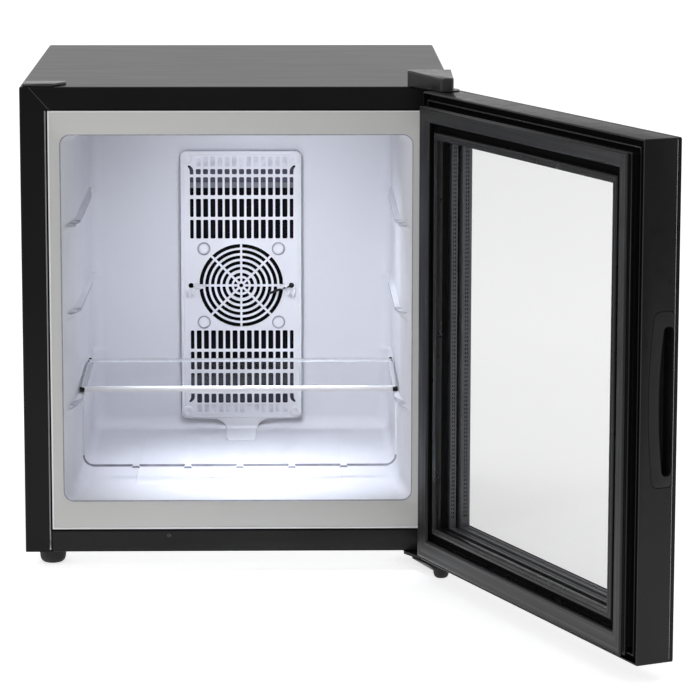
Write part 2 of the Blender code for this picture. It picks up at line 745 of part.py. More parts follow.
def inner_frame():
    """Retainer for the glazing: a face ring that stands proud of the door and a wider foot in the pocket."""
    face = frame_ring("inner_frame", (-177.6, 177.6), (36, 438), (-10.3, -3), 7.6, BLACK_PLASTIC, 0.8)
    foot_ring = frame_ring("inner_frame_foot", (-184.6, 184.6), (29.9, 445.1), (-15.7, -10), 14.6, None)
    boolean(face, foot_ring, "UNION")
    return [face, foot_ring]


def gasket():
    return [frame_ring("gasket", (-205, 205), (9, 466), (-9.7, -0.6), 20, RUBBER_GREY, 2.0)]


def glazing():
    """The front plate, two smaller panes behind it, and the spacers that hold them apart."""
    face = box("glass_outer", DOOR_X, FACE_DEPTH, DOOR_Z, CLEAR_GLASS)
    bevel(face, 0.5, 1)
    pieces = [face]
    for name, front in zip(("glass_middle", "glass_inner"), PANE_FRONTS):
        pieces.append(box(name, (-PANE_HALF, PANE_HALF), (front, front + PANE), PANE_Z, CLEAR_GLASS))
    for name, front, back in (
        ("spacer_outer", FACE_DEPTH[1], PANE_FRONTS[0]),
        ("spacer_inner", PANE_FRONTS[0] + PANE, PANE_FRONTS[1]),
    ):
        pieces.append(frame_ring(name, (-179, 179), (35, 440), (front + GAP, back - GAP), 7, ALUMINIUM))
    return pieces


def hinge_bushes():
    pieces = []
    for name, z in (("hinge_bush_top", DOOR_Z[1] - 6), ("hinge_bush_bottom", DOOR_Z[0] + 6)):
        bush = rods(name, [(HINGE_X, HINGE_DEPTH, z)], 5.6, 12.0, "Z", 20, NYLON)
        bore = rods(f"{name}_bore", [(HINGE_X, HINGE_DEPTH, z)], PIN_RADIUS + 0.15, 14.0, "Z", 20)
        boolean(bush, bore)
        pieces += [bush, bore]
    return pieces


def door():
    """Hang every door piece, and its cutters, on the hinge axis and open the door."""
    pivot = bpy.data.objects.new("door_pivot", None)
    PARTS.objects.link(pivot)
    pivot.location = point(HINGE_X, HINGE_DEPTH, 0)
    pivot.rotation_euler = (0, 0, math.radians(DOOR_OPEN_DEGREES))
    pieces = door_frame() + grip_insert() + inner_frame() + gasket() + glazing() + hinge_bushes()
    for piece in pieces:
        piece.parent = pivot
        piece.matrix_parent_inverse = Matrix.Translation(-pivot.location)


clear_scene()
PARTS = new_collection("mini_fridge")
CUTTERS = new_collection("cutters")

BLACK_STEEL = finish("black_painted_steel", (0.025, 0.025, 0.027), 0.38)
BLACK_PLASTIC = finish("black_plastic", (0.02, 0.02, 0.022), 0.35)
DARK_PLASTIC = finish("dark_plastic", (0.035, 0.035, 0.04), 0.5)
WHITE_PLASTIC = finish("white_plastic", (0.8, 0.81, 0.83), 0.45)
LINER_GREY = finish("liner_plastic", (0.62, 0.62, 0.63), 0.5)
FOAM = finish("insulation_foam", (0.85, 0.78, 0.55), 0.9)
ZINC = finish("zinc_plate", (0.6, 0.6, 0.62), 0.35, 1.0)
STEEL = finish("black_hinge_steel", (0.04, 0.04, 0.045), 0.4, 0.6)
ALUMINIUM = finish("aluminium", (0.75, 0.76, 0.78), 0.35, 1.0)
CERAMIC = finish("module_ceramic", (0.9, 0.9, 0.88), 0.6)
BOARD_GREEN = finish("board_green", (0.05, 0.25, 0.12), 0.5)
LENS = finish("lamp_lens", (0.95, 0.97, 1.0), 0.2)
CLEAR_GLASS = finish("clear_glass", (0.86, 0.92, 0.93), 0.05, 0.0, 0.35)
RUBBER = finish("black_rubber", (0.02, 0.02, 0.02), 0.7)
RUBBER_GREY = finish("gasket_rubber", (0.05, 0.05, 0.055), 0.55)
NYLON = finish("nylon", (0.7, 0.7, 0.68), 0.5)

outer_wrap()
front_sill()
base_pan()
rear_panel()
liner()
foam()
fan_cover()
cover_fittings()
cooling_unit()
rear_grille()
electrics()
lamp()
top_hinge()
bottom_hinge()
blanking_cap()
for foot_name, foot_place in FEET.items():
    foot(foot_name, *foot_place)
shelf()
door()
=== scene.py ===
"""Mini fridge with a glazed door, dressed for a studio picture.

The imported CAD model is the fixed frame. Lengths below are millimetres unless a name says
otherwise. Depth is measured back from the cabinet's front plane, as on the real cabinet, and
door pieces are drawn with the door shut and then swung to the rest position.
"""

import json
import math

import bmesh
import bpy
from mathutils import Matrix, Vector

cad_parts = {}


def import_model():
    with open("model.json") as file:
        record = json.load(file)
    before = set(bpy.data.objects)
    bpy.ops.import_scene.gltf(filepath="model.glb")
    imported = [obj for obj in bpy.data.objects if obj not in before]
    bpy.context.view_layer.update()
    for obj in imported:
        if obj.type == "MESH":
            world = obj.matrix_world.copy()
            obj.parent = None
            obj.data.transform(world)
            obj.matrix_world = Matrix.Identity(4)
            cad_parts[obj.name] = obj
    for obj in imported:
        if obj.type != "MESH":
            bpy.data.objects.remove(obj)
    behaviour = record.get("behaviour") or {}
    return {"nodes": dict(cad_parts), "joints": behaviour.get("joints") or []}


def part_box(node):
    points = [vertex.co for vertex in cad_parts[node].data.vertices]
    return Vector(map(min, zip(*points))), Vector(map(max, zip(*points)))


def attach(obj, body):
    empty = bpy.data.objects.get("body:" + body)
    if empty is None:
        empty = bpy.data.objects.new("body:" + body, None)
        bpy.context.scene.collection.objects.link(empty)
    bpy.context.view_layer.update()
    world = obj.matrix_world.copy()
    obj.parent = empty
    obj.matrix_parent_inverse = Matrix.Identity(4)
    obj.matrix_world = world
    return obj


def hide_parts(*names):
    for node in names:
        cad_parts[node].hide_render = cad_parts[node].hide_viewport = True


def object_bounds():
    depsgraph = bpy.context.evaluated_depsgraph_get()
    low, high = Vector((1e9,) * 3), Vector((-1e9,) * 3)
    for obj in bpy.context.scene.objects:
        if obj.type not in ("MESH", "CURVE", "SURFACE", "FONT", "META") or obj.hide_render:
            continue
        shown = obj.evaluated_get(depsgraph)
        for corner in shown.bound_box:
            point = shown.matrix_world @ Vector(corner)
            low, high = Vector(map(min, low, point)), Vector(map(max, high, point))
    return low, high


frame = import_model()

CAD_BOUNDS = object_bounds()
MM = 0.001

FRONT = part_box("outer_wrap")[0].y
HINGE = next(j for j in frame["joints"] if j["name"] == "door_hinge")
HINGE_POINT = Vector(HINGE["pos_m"])
SWING = Matrix.Translation(HINGE_POINT) @ Matrix.Rotation(
    math.radians(-HINGE["range_deg"][0]), 4, "Z"
) @ Matrix.Translation(-HINGE_POINT)


def at(x, depth, z):
    """A point given in millimetres, as metres in the row frame."""
    return Vector((x * MM, FRONT + depth * MM, z * MM))


def smooth(t):
    """Ease from 0 to 1 as t goes from 0 to 1."""
    t = min(1.0, max(0.0, t))
    return t * t * (3 - 2 * t)


# ---------------------------------------------------------------- materials


def map_range(node, low, high, start, end):
    """Set a Map Range node to turn start..end into low..high."""
    values = {"From Min": start, "From Max": end, "To Min": low, "To Max": high}
    for socket, value in values.items():
        node.inputs[socket].default_value = value


class Shader:
    """A node material that is built up from small steps."""

    def __init__(self, name, color, roughness, metallic=0.0, specular=0.5):
        self.material = bpy.data.materials.new(name)
        self.material.use_nodes = True
        self.nodes = self.material.node_tree.nodes
        self.links = self.material.node_tree.links
        self.main = self.nodes["Principled BSDF"]
        self.set("Base Color", (*color, 1.0))
        self.set("Roughness", roughness)
        self.set("Metallic", metallic)
        self.set("Specular IOR Level", specular)
        self.color = color
        self.height = None

    def set(self, socket, value):
        self.main.inputs[socket].default_value = value

    def link(self, source, target):
        self.links.new(source, target)

    def coordinates(self, stretch=(1, 1, 1)):
        where = self.nodes.new("ShaderNodeTexCoord")
        mapping = self.nodes.new("ShaderNodeMapping")
        mapping.inputs["Scale"].default_value = stretch
        self.link(where.outputs["Object"], mapping.inputs["Vector"])
        return mapping.outputs["Vector"]

    def noise(self, scale, detail=2.0, stretch=(1, 1, 1), roughness=0.5):
        texture = self.nodes.new("ShaderNodeTexNoise")
        texture.inputs["Scale"].default_value = scale
        texture.inputs["Detail"].default_value = detail
        texture.inputs["Roughness"].default_value = roughness
        self.link(self.coordinates(stretch), texture.inputs["Vector"])
        return texture.outputs["Fac"]

    def spread(self, source, low, high, start=0.3, end=0.7):
        """Map a 0-1 value between start and end to low..high."""
        node = self.nodes.new("ShaderNodeMapRange")
        map_range(node, low, high, start, end)
        self.link(source, node.inputs["Value"])
        return node.outputs["Result"]

    def vary_color(self, source, other, start=0.3, end=0.7):
        """Blend the base colour towards another one where source is high."""
        mix = self.nodes.new("ShaderNodeMix")
        mix.data_type = "RGBA"
        mix.inputs["A"].default_value = (*self.color, 1.0)
        mix.inputs["B"].default_value = (*other, 1.0)
        self.link(self.spread(source, 0.0, 1.0, start, end), mix.inputs["Factor"])
        self.link(mix.outputs["Result"], self.main.inputs["Base Color"])

    def vary_roughness(self, source, low, high):
        self.link(self.spread(source, low, high), self.main.inputs["Roughness"])

    def bump(self, source, distance, strength=1.0):
        """Add a height in metres; several stack."""
        node = self.nodes.new("ShaderNodeBump")
        node.inputs["Distance"].default_value = distance
        node.inputs["Strength"].default_value = strength
        self.link(source, node.inputs["Height"])
        if self.height is not None:
            self.link(self.height, node.inputs["Normal"])
        self.height = node.outputs["Normal"]
        self.link(self.height, self.main.inputs["Normal"])


def surface(name, color, roughness, specular=0.5, blotch=None, polish=None, grain=()):
    """An ordinary surface.

    blotch is (scale, detail, other colour), polish is (scale, detail, low, high roughness), and
    each grain is (scale, detail, height in metres, strength).
    """
    s = Shader(name, color, roughness, 0.0, specular)
    if blotch:
        scale, detail, other, *limits = blotch
        s.vary_color(s.noise(scale, detail), other, *limits)
    if polish:
        scale, detail, low, high = polish
        s.vary_roughness(s.noise(scale, detail), low, high)
    for scale, detail, height, strength, *stretch in grain:
        s.bump(s.noise(scale, detail, *stretch), height, strength)
    return s.material


def grey(value):
    return (value, value, value)


def painted_steel(name, base):
    s = Shader(name, grey(base), 0.3, 0.0, 0.17)
    s.vary_color(s.noise(9, 4), grey(base * 1.5))
    s.vary_roughness(s.noise(12, 2, (1, 6, 1)), 0.29, 0.32)
    return s.material


def metal(name, color, roughness):
    """Metal with fine streaks."""
    s = Shader(name, color, roughness, 1.0)
    s.vary_color(s.noise(25, 4), tuple(c * 0.86 for c in color))
    streaks = s.noise(220, 3, (1, 1, 12))
    s.vary_roughness(streaks, roughness - 0.06, roughness + 0.1)
    s.bump(streaks, 0.00005, 0.4)
    return s.material


def glass(name, tint, edge_alpha, face_alpha):
    """Sheet glass: clear head on, and stronger at a grazing angle."""
    s = Shader(name, tint, 0.03)
    facing = s.nodes.new("ShaderNodeLayerWeight")
    facing.inputs["Blend"].default_value = 0.35
    alpha = s.spread(facing.outputs["Facing"], face_alpha, edge_alpha, 0.0, 1.0)
    s.link(alpha, s.main.inputs["Alpha"])
    s.vary_roughness(s.noise(6, 3), 0.02, 0.05)
    return s.material


def lit_lens():
    s = Shader("lit_lens", (0.9, 0.93, 1.0), 0.25)
    s.vary_roughness(s.noise(120, 2), 0.2, 0.3)
    s.set("Emission Color", (0.86, 0.9, 1.0, 1.0))
    s.set("Emission Strength", 3.0)
    return s.material


def matt(name, color):
    """Dull and slightly open, like foam; most of the matt materials below are painted shade in
    grooves, gaps, perforations, under rails and behind the louvres.
    """
    lighter = tuple(c * 1.5 for c in color)
    return surface(name, color, 0.9, 0.1, (90, 4, lighter), None, [(700, 3, 0.0003, 0.6)])


STEEL_PAINT = painted_steel("black_powder_paint", 0.003)
# Lighter copy of the black paint for the sill's face: painted light.
LIT_SILL_PAINT = painted_steel("lit_sill_paint", 0.009)
PLASTIC = surface(
    "satin_black_plastic", grey(0.005), 0.3, 0.25,
    (14, 3, grey(0.008)), (80, 3, 0.26, 0.36), [(1600, 2, 0.00004, 0.4)],
)
GRAINED = surface(
    "grained_black_plastic", (0.007, 0.007, 0.008), 0.45, 0.3,
    (30, 4, (0.012, 0.012, 0.013)), (120, 3, 0.42, 0.6), [(1300, 3, 0.00012, 0.6)],
)
GLOSS = surface(
    "gloss_black_plastic", (0.02, 0.02, 0.021), 0.2, 0.5,
    (14, 3, (0.027, 0.027, 0.028)), (60, 3, 0.16, 0.26),
)
LINER = surface(
    "moulded_liner", (0.715, 0.718, 0.742), 0.42, 0.45,
    (5, 3, (0.69, 0.693, 0.718)), (40, 3, 0.36, 0.48),
    [(700, 2, 0.00005, 0.35), (11, 2, 0.0006, 0.25)],
)
FLANGE = surface(
    "liner_flange", (0.54, 0.54, 0.532), 0.5, 0.4,
    (8, 3, (0.525, 0.525, 0.517)), None, [(900, 2, 0.00005, 0.4)],
)
WHITE = surface(
    "white_moulding", (0.8, 0.8, 0.82), 0.38, 0.45,
    (12, 3, (0.77, 0.77, 0.79)), (60, 3, 0.32, 0.45), [(900, 2, 0.00004, 0.3)],
)
RUBBER = surface(
    "foot_rubber", grey(0.014), 0.68, 0.3, (40, 4, grey(0.03)), None, [(1100, 3, 0.00015, 0.6)]
)
VINYL = surface(
    "gasket_vinyl", (0.006, 0.006, 0.0065), 0.32, 0.3,
    (18, 4, (0.01, 0.01, 0.011)), (70, 3, 0.28, 0.34),
    [(60, 2, 0.0002, 0.1, (1, 1, 0.2)), (1200, 2, 0.00006, 0.4)],
)
SPACER = surface(
    "glazing_spacer", (0.1, 0.1, 0.112), 0.4, 0.5,
    (60, 3, (0.12, 0.12, 0.135)), None, [(900, 2, 0.00004, 0.4)],
)
FOAM = surface(
    "insulation_foam", (0.7, 0.6, 0.36), 0.9, 0.5,
    (60, 5, (0.6, 0.5, 0.28)), None, [(300, 5, 0.0008, 0.8)],
)
BOARD = surface(
    "board_laminate", (0.03, 0.16, 0.07), 0.45, 0.5,
    (160, 2, (0.04, 0.24, 0.1), 0.45, 0.55), None, [(500, 2, 0.0001, 0.5)],
)
CERAMIC = surface("module_ceramic", (0.85, 0.84, 0.8), 0.55, 0.5, (90, 4, (0.78, 0.77, 0.73)))
NYLON = surface("natural_nylon", (0.62, 0.61, 0.56), 0.5, 0.5, (80, 3, (0.55, 0.54, 0.5)))
# Ground edge of the shelf glass, and the front glass's edge, dark from the print behind it.
GLASS_EDGE = surface(
    "ground_glass_edge", (0.78, 0.8, 0.82), 0.35, 0.5,
    (140, 3, (0.68, 0.71, 0.73)), None, [(1500, 2, 0.00004, 0.5)],
)
DARK_EDGE = surface(
    "dark_glass_edge", (0.004, 0.005, 0.005), 0.3, 0.16, None, (90, 3, 0.26, 0.36)
)
# Lighter and glossier than the black paint: a painted highlight along the folded mitre joints.
SEAM = surface("fold_highlight", grey(0.02), 0.22)
PRINT = surface("ceramic_print", grey(0.006), 0.3, 0.4)
ZINC = metal("zinc_plated_steel", (0.55, 0.55, 0.56), 0.36)
ALUMINIUM = metal("extruded_aluminium", (0.66, 0.67, 0.69), 0.34)
PIN_STEEL = metal("ground_steel", (0.5, 0.5, 0.51), 0.28)
DOOR_GLASS = glass("door_glass", (0.03, 0.035, 0.035), 0.12, 0.01)
SHELF_GLASS = glass("shelf_glass", (0.05, 0.055, 0.06), 0.1, 0.015)
LENS = lit_lens()
# Near-black matt: the own colour of the cold fan, sink and block, and also painted shade in gaps,
# recesses, perforations and on the steel's rolled edge.
BLACK_AND_SHADE = matt("fan_black_and_shade", grey(0.002))
# Near-black matt sheet behind the louvres: painted shade.
DUCT = matt("duct_shade", (0.003, 0.003, 0.004))
# Grey-blue bar for the liner's edge behind the louvres, much darker than the liner: painted shade.
LINER_BAR_SHADE = matt("liner_bar_shade", (0.17, 0.175, 0.19))
# Dark blue-grey strips above the bar and near the bottom of the sheet behind the louvres.
DUCT_STRIP = matt("duct_strip", (0.07, 0.075, 0.1))
# Grey plates under the blind ribs, darker than the white cover: painted shade.
RIB_SHADE = matt("rib_shade", (0.55, 0.55, 0.58))
# The shelf glass's side edges, darker than its front and back edges: painted shade.
SIDE_GLASS_SHADE = matt("side_glass_shade", (0.12, 0.13, 0.15))
# Dark grey for the mouth's lip and the seam in front of the floor pad: painted shade.
LIP_AND_SEAM_SHADE = matt("lip_and_seam_shade", (0.22, 0.225, 0.25))
# Grey on the steep underside of each shelf rail: painted shadow.
RAIL_SHADOW = matt("rail_shadow", (0.4, 0.405, 0.45))
# Grey in the groove round the fan cover and round its bosses: painted shade.
GROOVE_SHADE = matt("groove_shade", (0.32, 0.325, 0.35))

CAD_FINISHES = (
    (STEEL_PAINT, "outer_wrap front_sill rear_panel top_hinge_plate bottom_hinge_bracket"),
    (ZINC, "base_pan power_supply grille_screw_1 grille_screw_2 grille_screw_3 grille_screw_4"),
    (ZINC, "top_hinge_screw_1 top_hinge_screw_2 bottom_hinge_screw_1 bottom_hinge_screw_2"),
    (PIN_STEEL, "top_hinge_pin bottom_hinge_pin"),
    (FOAM, "foam"),
    (WHITE, "cover_screw_1 cover_screw_2 cover_screw_3 cover_screw_4 fan_cover shelf_trim"),
    (WHITE, "probe_clip_left probe_clip_right lamp_housing"),
    (GRAINED, "temperature_probe hot_fan_frame hot_fan_rotor power_inlet blanking_cap grip_insert"),
    (BLACK_AND_SHADE, "cold_fan_frame cold_fan_rotor cold_sink cold_block"),
    (CERAMIC, "peltier_module"),
    (ALUMINIUM, "hot_sink"),
    (PLASTIC, "rear_grille top_hinge_cover door_frame inner_frame"),
    (BOARD, "control_board"),
    (LENS, "lamp_lens"),
    (GLOSS, "status_lens"),
    (RUBBER, "foot_front_left foot_front_right foot_rear_left foot_rear_right"),
    (LINER, "liner"),
    (SHELF_GLASS, "shelf_glass"),
    (VINYL, "gasket"),
    (DOOR_GLASS, "glass_outer glass_middle glass_inner"),
    (SPACER, "spacer_outer spacer_inner"),
    (NYLON, "hinge_bush_top hinge_bush_bottom"),
)


def finish_cad_nodes():
    for material, names in CAD_FINISHES:
        for name in names.split():
            node = frame["nodes"][name]
            node.data.materials.clear()
            node.data.materials.append(material)


# ---------------------------------------------------------------- building pieces


class Mesh:
    """A bmesh in row-frame metres, drawn from millimetre sizes."""

    def __init__(self):
        self.bm = bmesh.new()

    def box(self, x, depth, z):
        low, high = at(x[0], depth[0], z[0]), at(x[1], depth[1], z[1])
        matrix = Matrix.Translation((low + high) / 2) @ Matrix.Diagonal((*(high - low), 1.0))
        bmesh.ops.create_cube(self.bm, size=1.0, matrix=matrix)
        return self

    def prism(self, outline, along):
        """Sweep a closed outline of points by a vector in metres."""
        bm = self.bm
        near = [bm.verts.new(p) for p in outline]
        far = [bm.verts.new(p + Vector(along)) for p in outline]
        bm.faces.new(near)
        bm.faces.new(list(reversed(far)))
        for i in range(len(near)):
            j = (i + 1) % len(near)
            bm.faces.new((near[j], near[i], far[i], far[j]))
        return self

    def loft(self, rings, closed=False, caps=True):
        """Skin rings of equal length; closed joins the last ring to the first."""
        bm = self.bm
        loops = [[bm.verts.new(p) for p in ring] for ring in rings]
        pairs = list(zip(loops, loops[1:]))
        if closed:
            pairs.append((loops[-1], loops[0]))
        for near, far in pairs:
            for i in range(len(near)):
                j = (i + 1) % len(near)
                bm.faces.new((near[i], near[j], far[j], far[i]))
        if caps and not closed:
            bm.faces.new(list(reversed(loops[0])))
            bm.faces.new(loops[-1])
        return self

    def turned(self, centre, profile, axis="Z", sides=32):
        """Turn a profile of (radius, position along the axis) about a centre."""
        rings = []
        for radius, along in profile:
            ring = []
            for step in range(sides):
                angle = 2 * math.pi * step / sides
                u, v = radius * math.cos(angle), radius * math.sin(angle)
                x, depth, z = {"Z": (u, v, along), "Y": (u, along, v), "X": (along, u, v)}[axis]
                ring.append(at(centre[0] + x, centre[1] + depth, centre[2] + z))
            rings.append(ring)
        return self.loft(rings)

    def tube(self, path, radius, sides=12):
        """A round tube along points in millimetres."""
        points = [at(*p) for p in path]
        rings = []
        side = Vector((0, 0, 1))
        for index, here in enumerate(points):
            ahead = points[min(index + 1, len(points) - 1)] - points[max(index - 1, 0)]
            ahead.normalize()
            side = (side - ahead * side.dot(ahead)).normalized()
            other = ahead.cross(side)
            rings.append([
                here + (side * math.cos(a) + other * math.sin(a)) * radius * MM
                for a in (2 * math.pi * step / sides for step in range(sides))
            ])
        return self.loft(rings)


def discard(obj):
    mesh = obj.data
    bpy.data.objects.remove(obj)
    bpy.data.meshes.remove(mesh)


def from_object(obj):
    """The evaluated mesh of a temporary object, which is then removed."""
    depsgraph = bpy.context.evaluated_depsgraph_get()
    result = Mesh()
    result.bm.from_mesh(obj.evaluated_get(depsgraph).to_mesh())
    discard(obj)
    return result


def temporary(mesh, name="temporary", outwards=True):
    """A throw-away object, with its faces turned outwards unless the mesh is open."""
    if outwards:
        bmesh.ops.recalc_face_normals(mesh.bm, faces=mesh.bm.faces)
    data = bpy.data.meshes.new(name)
    mesh.bm.to_mesh(data)
    mesh.bm.free()
    obj = bpy.data.objects.new(name, data)
    bpy.context.scene.collection.objects.link(obj)
    return obj


def combine(mesh, tool, operation="DIFFERENCE"):
    base, other = temporary(mesh), temporary(tool, "tool")
    modifier = base.modifiers.new("combine", "BOOLEAN")
    modifier.operation = operation
    modifier.solver = "EXACT"
    modifier.object = other
    result = from_object(base)
    discard(other)
    return result


def soften(mesh, width, segments=3, angle=35):
    """Round the sharp edges."""
    base = temporary(mesh)
    modifier = base.modifiers.new("soften", "BEVEL")
    modifier.width = width * MM
    modifier.segments = segments
    modifier.limit_method = "ANGLE"
    modifier.angle_limit = math.radians(angle)
    return from_object(base)


def thicken(mesh, thickness):
    """Give an open skin a thickness, on the side its faces look away from."""
    base = temporary(mesh, outwards=False)
    modifier = base.modifiers.new("thicken", "SOLIDIFY")
    modifier.thickness = thickness * MM
    modifier.offset = -1.0
    modifier.use_even_offset = False
    return from_object(base)


def piece(name, mesh, material, body, stands_for=(), smooth=35):
    """Finish a mesh as a visible piece that rides with a CAD body."""
    bm = mesh.bm
    bmesh.ops.recalc_face_normals(bm, faces=bm.faces)
    data = bpy.data.meshes.new(name)
    bm.to_mesh(data)
    bm.free()
    data.materials.append(material)
    data.shade_smooth()
    data.set_sharp_from_angle(angle=math.radians(smooth))
    obj = bpy.data.objects.new(name, data)
    bpy.context.scene.collection.objects.link(obj)
    if body == "door":
        obj.matrix_world = SWING
    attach(obj, body)
    if stands_for:
        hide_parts(*stands_for)
    return obj


def paint(obj, materials, choose):
    """Add materials and let choose(face, x, depth, z) say which one each face takes."""
    for material in materials:
        obj.data.materials.append(material)
    for face in obj.data.polygons:
        x, y, z = face.center
        face.material_index = int(choose(face, x / MM, (y - FRONT) / MM, z / MM))


def rectangle(x, z, depth, radius=0.0, steps=4):
    """Points round a rectangle at one depth, with arc corners when radius is given."""
    quarters = ((x[1], z[1], 0), (x[0], z[1], 90), (x[0], z[0], 180), (x[1], z[0], 270))
    points = []
    for cx, cz, start in quarters:
        if not radius:
            points.append(at(cx, depth, cz))
            continue
        cx -= math.copysign(radius, cx - (x[0] + x[1]) / 2)
        cz -= math.copysign(radius, cz - (z[0] + z[1]) / 2)
        for step in range(steps + 1):
            angle = math.radians(start + 90 * step / steps)
            points.append(at(cx + radius * math.cos(angle), depth, cz + radius * math.sin(angle)))
    return points


def arc_plan(cx, cy, radius, start, end, steps=8):
    """Points along an arc, from one angle in degrees to another."""
    points = []
    for step in range(steps + 1):
        angle = math.radians(start + (end - start) * step / steps)
        points.append((cx + radius * math.cos(angle), cy + radius * math.sin(angle)))
    return points


def shrunk(x, z, inset):
    return (x[0] + inset, x[1] - inset), (z[0] + inset, z[1] - inset)


def mitred(x, z, profile):
    """A frame with mitred corners: a closed profile of (inset, depth) round a rectangle."""
    rings = [rectangle(*shrunk(x, z, inset), depth) for inset, depth in profile]
    return Mesh().loft(rings, closed=True)


# ---------------------------------------------------------------- cavity

CAVITY_HALF, CAVITY_BACK = 166.5, 360.0
FLOOR_Z, CEILING_Z = 52.0, 420.5
CORNER_RADIUS, BACK_RADIUS = 12.0, 15
BACK_START = CAVITY_BACK - BACK_RADIUS
FLOOR_HALF = CAVITY_HALF - CORNER_RADIUS
FLARE_DEPTH, FLARE_SIDE, FLARE_LOW, FLARE_HIGH = 78, 9.0, 2.6, 5.2
MOUTH_DEPTH, MOUTH_HALF, MOUTH_Z = 6, 175.6, (55.0, 426.0)
# The mouth's rolled lip, as (growth, depth) from the flange inwards.
LIPS = ((1.2, 1.3), (0.9, 1.5), (0.1, 2.3))
FLANGE_DEPTH, FLANGE_HALF, FLANGE_Z = 1.3, 204.0, (13.0, 462.0)
# Top of each pair of shelf rails at the back, and how far it climbs on the way to the mouth.
RAILS = ((144.7, 0.0), (230.0, 11.5), (326.0, 4.5))
RAIL_REACH, RAIL_HEIGHT = 6.0, 8.5
RAIL_START, RAIL_END = 10, 342
PAD_START, PAD_RISE, PAD_TOP_Z = 170.0, 2.0, 128.0
NOTCH = 6.6
GROOVES = (-110, -55, 0, 55, 110)
GROOVE_END = 266
FAN_Z = 216.0


def cavity_size(depth):
    """Half width, floor and ceiling height, and corner radius at one depth."""
    flare = max(0.0, 1 - depth / FLARE_DEPTH)
    half = CAVITY_HALF + FLARE_SIDE * flare
    low, high = FLOOR_Z + FLARE_LOW * flare, CEILING_Z + FLARE_HIGH * flare
    sunk = depth - BACK_START
    if sunk > 0:
        inwards = BACK_RADIUS - math.sqrt(max(0.0, BACK_RADIUS ** 2 - sunk * sunk))
        half, low, high = half - inwards, low + inwards, high - inwards
    return half, low, high, CORNER_RADIUS - 3.0 * flare


def rail(depth, z):
    """How far a shelf rail stands out of the side wall."""
    along = smooth((depth - RAIL_START) / 40) * (0.35 + 0.65 * smooth((RAIL_END - depth) / 60))
    across = 0.0
    for top, _ in RAILS:
        under = top - z
        across = max(across, smooth((under + 0.5) / 0.5) * smooth((RAIL_HEIGHT - under) / 5.5))
    return RAIL_REACH * along * across


def rail_lift(depth, z):
    """How far the wall's rows near a rail climb with it."""
    share = (BACK_START - depth) / BACK_START
    return sum(climb * smooth((34 - abs(z - top + 5)) / 24) * share for top, climb in RAILS)


def under_rail(depth, z):
    """Whether a point of the side wall is on the steep underside of a rail, where painted shadow
    goes.
    """
    if depth <= 24:
        return False
    slope = 1.5 + 3.8 * smooth((depth - 24) / 110) * smooth((RAIL_END - depth) / 200)
    return any(-slope < z - rail_lift(depth, top - 2) - top < 0.1 for top, _ in RAILS)


def pad(depth, z):
    """The raised rear part of the floor and the lower walls."""
    return PAD_RISE * smooth((depth - PAD_START + 0.3) / 0.6) * smooth((PAD_TOP_Z - z) / 5.0)


def pad_seam(depth):
    """Fine groove in the floor that runs along the front edge of the pad."""
    return 1.5 * smooth((depth - PAD_START + 1.8) / 0.6) * smooth((PAD_START + 0.3 - depth) / 0.6)


def groove(x, depth):
    """Drain grooves in the pad, open at its front edge."""
    end = smooth((GROOVE_END - depth) / 4.0)
    return max(smooth((4.1 - abs(x - centre)) / 0.9) for centre in GROOVES) * end


def recess(x, depth):
    """A very shallow tray in front of the pad."""
    across = smooth((106.8 - abs(x)) / 1.6)
    return 0.7 * across * smooth((depth - 90) / 1.6) * smooth((168.4 - depth) / 1.6)


def stations(low, high, step, extra=()):
    """Evenly spaced values from low to high with some extra ones between."""
    count = max(1, round((high - low) / step))
    values = [low + (high - low) * i / count for i in range(count + 1)]
    kept = [v for v in values if all(abs(v - e) > step * 0.3 for e in extra)]
    return sorted(set([low, high] + kept + [e for e in extra if low < e < high]))


def cavity_ring(depth, floor_x, wall_z):
    """One ring of the cavity: floor, right wall, ceiling, left wall, with arc corners."""
    half, low, high, radius = cavity_size(depth)
    straight = half - radius
    ring = []

    def arc(sx, sz, start):
        for step in range(1, 6):
            angle = math.radians(start + 15 * step)
            x = sx * straight + radius * math.cos(angle)
            z = (high - radius if sz > 0 else low + radius) + radius * math.sin(angle)
            rise = pad(depth, z)
            inwards = math.copysign(rise, x) * abs(math.cos(angle))
            ring.append(at(x - inwards, depth, z + rise * abs(math.sin(angle)) * (sz < 0)))

    def side(sign, levels):
        for share in levels:
            z = low + radius + (high - low - 2 * radius) * share
            x = sign * (half - pad(depth, z) - rail(depth, z))
            ring.append(at(x, depth, z + rail_lift(depth, z)))

    def floor_height(x):
        cut = groove(x, depth)
        shifted = depth + NOTCH * cut
        return low + pad(shifted, low) * (1 - 0.2 * cut) - (recess(x, depth) + pad_seam(shifted))

    places = [x * straight / FLOOR_HALF for x in floor_x]
    ring += [at(x, depth, floor_height(x)) for x in places]
    arc(1, -1, 270)
    side(1, wall_z)
    arc(1, 1, 0)
    ring += [at(-x, depth, high) for x in places]
    arc(-1, 1, 90)
    side(-1, list(reversed(wall_z)))
    arc(-1, -1, 180)
    return ring


def outward(p):
    """Unit direction in (x, z) from the opening's inside to a point of its rounded edge."""
    x, z = p.x / MM, p.z / MM - sum(MOUTH_Z) / 2
    half_x, half_z = MOUTH_HALF - CORNER_RADIUS, (MOUTH_Z[1] - MOUTH_Z[0]) / 2 - CORNER_RADIUS
    dx = x - max(-half_x, min(half_x, x))
    dz = z - max(-half_z, min(half_z, z))
    length = math.hypot(dx, dz) or 1.0
    return dx / length, dz / length


def on_flange(p):
    """A point of the mouth pushed out to the flange's outer rectangle."""
    x, middle = p.x / MM, sum(FLANGE_Z) / 2
    rise = p.z / MM - middle
    tiny = 1e-6
    scale = min(FLANGE_HALF / max(abs(x), tiny), (FLANGE_Z[1] - middle) / max(abs(rise), tiny))
    return at(x * scale, FLANGE_DEPTH, middle + rise * scale)


